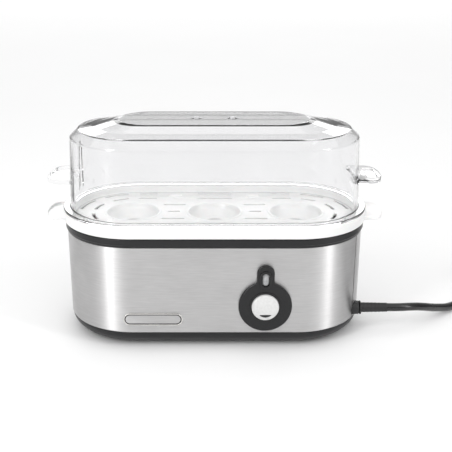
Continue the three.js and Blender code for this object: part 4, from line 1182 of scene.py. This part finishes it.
class EGGCOOKER_OT_cord(bpy.types.Operator):
    """Mains cord with its bushing, coil, tie and plug."""

    bl_idname = "egg_cooker.cord"
    bl_label = "Cord"

    def execute(self, context):
        diameter = size(context, "cord_diameter")
        pitch = diameter * 1.04
        gland = self.bushing(diameter / 2)
        tie = self.tie()
        plug, pins = self.plug(diameter / 2)
        line = through(self.route(diameter, pitch))
        nodes = ["power_cord", "cord_coil", "cord_tail"]
        sheath = tube(line, diameter / 2)
        cord = piece("cord", [sheath], cord_sheath(), "housing", nodes)
        return {"FINISHED"}

    def route(self, diameter, pitch):
        """The cord's whole route: out of the body, down to the table, round the coil, to the plug."""
        ex, y, z = cord_exit()
        x = ex + RELIEF_START + RELIEF_LENGTH + GAP
        table = diameter / 2 + CLEARANCE
        coil_low, coil_high = node_box("cord_coil")
        cx, cy, _ = node_centre("cord_coil")
        mean = (coil_high[0] - coil_low[0]) / 2 - pitch - diameter / 2 - 0.15
        strand = coil_low[2] + diameter / 2
        join_x = cx - mean - pitch
        join_y = node_box("power_cord")[1][1] - AXIS_Y
        free = [
            (ex + 6, y, z), (ex + 15, y, z), (x, y, z), (x + 6, y, z), (x + 12, y + 0.9, z - 0.3),
            (x + 18, y + 3, z - 1), (x + 25, y + 6.6, z - 2.6), (x + 32, y + 11.4, z - 5.2),
            (x + 39, y + 17.2, z - 8.4), (x + 46, y + 23.4, z - 11.4), (x + 53, y + 29.2, table + 1.6),
            (x + 60, y + 34.9, table + 0.3), (x + 67, y + 40.5, table), (x + 74, y + 46.2, table + 0.2),
            (x + 80.5, y + 51.7, table + 0.6), (join_x - 3.3, join_y, strand - 0.1),
            (join_x - 0.8, join_y + 6, strand), (join_x, join_y + 13.5, strand),
        ]
        coil = self.coil(mean, pitch, strand) + [cx, cy, 0]
        tail_x, upper = cx + mean + pitch / 2, strand + pitch
        plug_low, plug_high = node_box("plug_body")
        end = plug_high[1] - AXIS_Y
        lift = (plug_low[2] + plug_high[2]) / 2 - upper
        rows = [(cy - 9, 0), (cy - 18, 0.01), (end + 26, 0.05), (end + 19, 0.2)]
        rows += [(end + 13, 0.5), (end + 6, 0.85), (end, 1), (end - 6, 1)]
        tail = [(tail_x, row, upper + lift * share) for row, share in rows]
        return np.concatenate([free, coil, tail])

    def coil(self, mean, pitch, strand):
        """The wound part: two flat turns inwards, a climb, then out again on top of them.

        It runs clockwise from the left. The radius falls by one pitch a turn on the table, stays
        while the cord climbs by one pitch over 60 degrees, and grows by 1.5 pitches in the rest.
        """
        degrees = np.arange(0, 1261, 15)
        inward = np.minimum(degrees, 720) / 360
        climb = np.clip((degrees - 720) / 60, 0, 1)
        outward = np.maximum(degrees - 780, 0) / 480
        r = mean + pitch * (1 - inward + 1.5 * outward)
        a = math.pi - np.radians(degrees)
        height = strand + pitch * climb * climb * (3 - 2 * climb)
        return np.column_stack([r * np.cos(a), r * np.sin(a), height])

    def bushing(self, cord_r):
        """An oval sleeve and collar in the outlet, and a tapered relief with soft rings."""
        x, y, z = cord_exit()
        sleeve = plate([oval(0, 0, 11.0, 9.4)], 10.0, 0.3)
        collar = plate([oval(0, 0, 11.4, 9.4)], 1.2, 0.5)
        along = np.linspace(0, RELIEF_LENGTH, 61)
        share = along / RELIEF_LENGTH
        ribs = 0.05 * np.cos(share * 2 * math.pi * 7) * (share < 0.85)
        profile = np.column_stack([cord_r + 0.62 - 0.35 * share + ribs, along])
        relief = turned(np.concatenate([[(0, 0)], profile, [(0, RELIEF_LENGTH)]]))
        parts = [
            face_right(sleeve, x - 2, y, z),
            face_right(collar, x + 4.2, y, z),
            face_right(relief, x + RELIEF_START, y, z),
        ]
        return piece("bushing", parts, cord_moulding(), "housing", ["cord_gland"])

    def tie(self):
        """A soft strap round the coil."""
        low, high = node_box("cord_tie")
        wide, width, height = high - low
        band = [box_outline(0, 0, width, height, 1.6), box_outline(0, 0, width - 1.6, height - 1.6, 0.9)]
        strap = face_right(plate(band, wide, 0.2), *node_centre("cord_tie"))
        return piece("tie", [strap], cord_moulding(), "housing", ["cord_tie"])

    def plug(self, cord_r):
        """A round moulded plug with a ribbed neck and a stepped grip, and its two pins."""
        low, high = node_box("plug_body")
        x, _, z = node_centre("plug_body")
        r, total = (high[0] - low[0]) / 2, high[1] - low[1]
        neck = RELIEF_LENGTH
        grip = total - neck
        along = np.linspace(0, neck - 1.5, 50)
        ribs = 0.35 * np.cos(along / neck * 2 * math.pi * 6)
        stem = np.column_stack([cord_r + 1.1 + 1.2 * along / neck + ribs, along])
        corners = [
            (cord_r + 2.4, neck - 1, 0.4), (r * 0.60, neck, 2.0), (r * 0.84, neck + grip * 0.30, 6),
            (r * 0.86, neck + grip * 0.52, 1.0), (r, neck + grip * 0.58, 1.0), (r, total, 1.2),
            (r - 3.4, total, 0.6), (r - 3.8, total - 0.6, 0.4), (0, total - 0.6, 0),
        ]
        shell = turned(np.concatenate([[(0, 0)], stem, rounded(corners)]), 40)
        shell = face_front(shell, x, high[1] - AXIS_Y, z)
        plug = piece("plug", [shell], cord_moulding(), "housing", ["plug_body"])
        return plug, [self.pin(number) for number in (1, 2)]

    def pin(self, number):
        """A round pin with a rounded tip."""
        node = f"plug_pin_{number}"
        low, high = node_box(node)
        x, _, z = node_centre(node)
        radius, reach = (high[0] - low[0]) / 2, high[1] - low[1]
        outline = rounded([(0, -0.8, 0), (radius, -0.8, 0), (radius, reach, 1.9), (0, reach, 0)], steps=8)
        part = face_front(turned(outline), x, high[1] - AXIS_Y, z)
        return piece(f"pin_{number}", [part], bright_metal(), "housing", [node])


# ---------------------------------------------------------------- inner parts


class EGGCOOKER_OT_inside(bpy.types.Operator):
    """Finishes of the parts inside the body, which keep their CAD shape."""

    bl_idname = "egg_cooker.inside"
    bl_label = "Inner parts"

    def execute(self, context):
        sheath = material(
            "element_sheath", (0.34, 0.31, 0.29), (0.35, 0.55), tone=0.3, clouds=60.0, Metallic=1.0
        )
        ceramic = material("ceramic", (0.72, 0.68, 0.58), (0.55, 0.75), tone=0.08, grain=900.0, bump_mm=0.05)
        glow = material("lamp_glass", (0.75, 0.55, 0.4), (0.08, 0.15), tone=0.1, Transmission_Weight=0.6)
        wire = {"rough": (0.4, 0.5), "grain": 1200.0}
        brown = material("wire_live", (0.16, 0.06, 0.025), **wire)
        blue = material("wire_neutral", (0.03, 0.09, 0.36), **wire)
        green = material("wire_earth", (0.12, 0.30, 0.03), clouds=300.0, tone=0.5, **wire)
        live = ["supply_live", "block_to_switch", "switch_to_thermostat", "thermostat_to_element"]
        looks = (
            (sheath, ["heating_element"]),
            (bright_metal(), ["element_terminal_live", "element_terminal_neutral", "button_spring"]),
            (ceramic, ["thermostat", "thermal_fuse", "terminal_block"]),
            (steel_with_painted_shade(), ["thermostat_clip"]),
            (satin_black(), ["switch_body"]),
            (brown, [f"wire_{way}" for way in live]),
            (blue, ["wire_supply_neutral", "wire_block_to_element"]),
            (green, ["wire_pan_earth"]),
            (glow, ["pilot_lamp"]),
        )
        for look, nodes in looks:
            for node in nodes:
                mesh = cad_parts[node].data
                mesh.materials.clear()
                mesh.materials.append(look)
        return {"FINISHED"}


# ---------------------------------------------------------------- add-on

OPERATORS = (
    EGGCOOKER_OT_stage,
    EGGCOOKER_OT_cord,
    EGGCOOKER_OT_base,
    EGGCOOKER_OT_band,
    EGGCOOKER_OT_ring,
    EGGCOOKER_OT_pan,
    EGGCOOKER_OT_tray,
    EGGCOOKER_OT_lid,
    EGGCOOKER_OT_controls,
    EGGCOOKER_OT_inside,
)


class EGGCOOKER_PT_panel(bpy.types.Panel):
    """Lists the sizes, colours and pieces."""

    bl_label = "Egg Cooker"
    bl_idname = "EGGCOOKER_PT_panel"
    bl_space_type = "VIEW_3D"
    bl_region_type = "UI"
    bl_category = "Egg Cooker"

    def draw(self, context):
        layout = self.layout
        for group in (context.scene.egg_cooker_sizes, context.scene.egg_cooker_colours):
            box = layout.box()
            for name in group.__annotations__:
                box.prop(group, name)
        for operator in OPERATORS:
            layout.operator(operator.bl_idname)


CLASSES = (EggCookerSizes, EggCookerColours, *OPERATORS, EGGCOOKER_PT_panel)


def register():
    """Registers the classes and hangs the two groups of properties on the scene."""
    for cls in CLASSES:
        bpy.utils.register_class(cls)
    bpy.types.Scene.egg_cooker_sizes = PointerProperty(type=EggCookerSizes)
    bpy.types.Scene.egg_cooker_colours = PointerProperty(type=EggCookerColours)


def unregister():
    """Takes the properties and classes away again."""
    del bpy.types.Scene.egg_cooker_colours
    del bpy.types.Scene.egg_cooker_sizes
    for cls in reversed(CLASSES):
        bpy.utils.unregister_class(cls)


def main():
    """Runs every operator in order."""
    register()
    for operator in OPERATORS:
        family, name = operator.bl_idname.split(".")
        getattr(getattr(bpy.ops, family), name)()


if __name__ == "__main__":
    main()
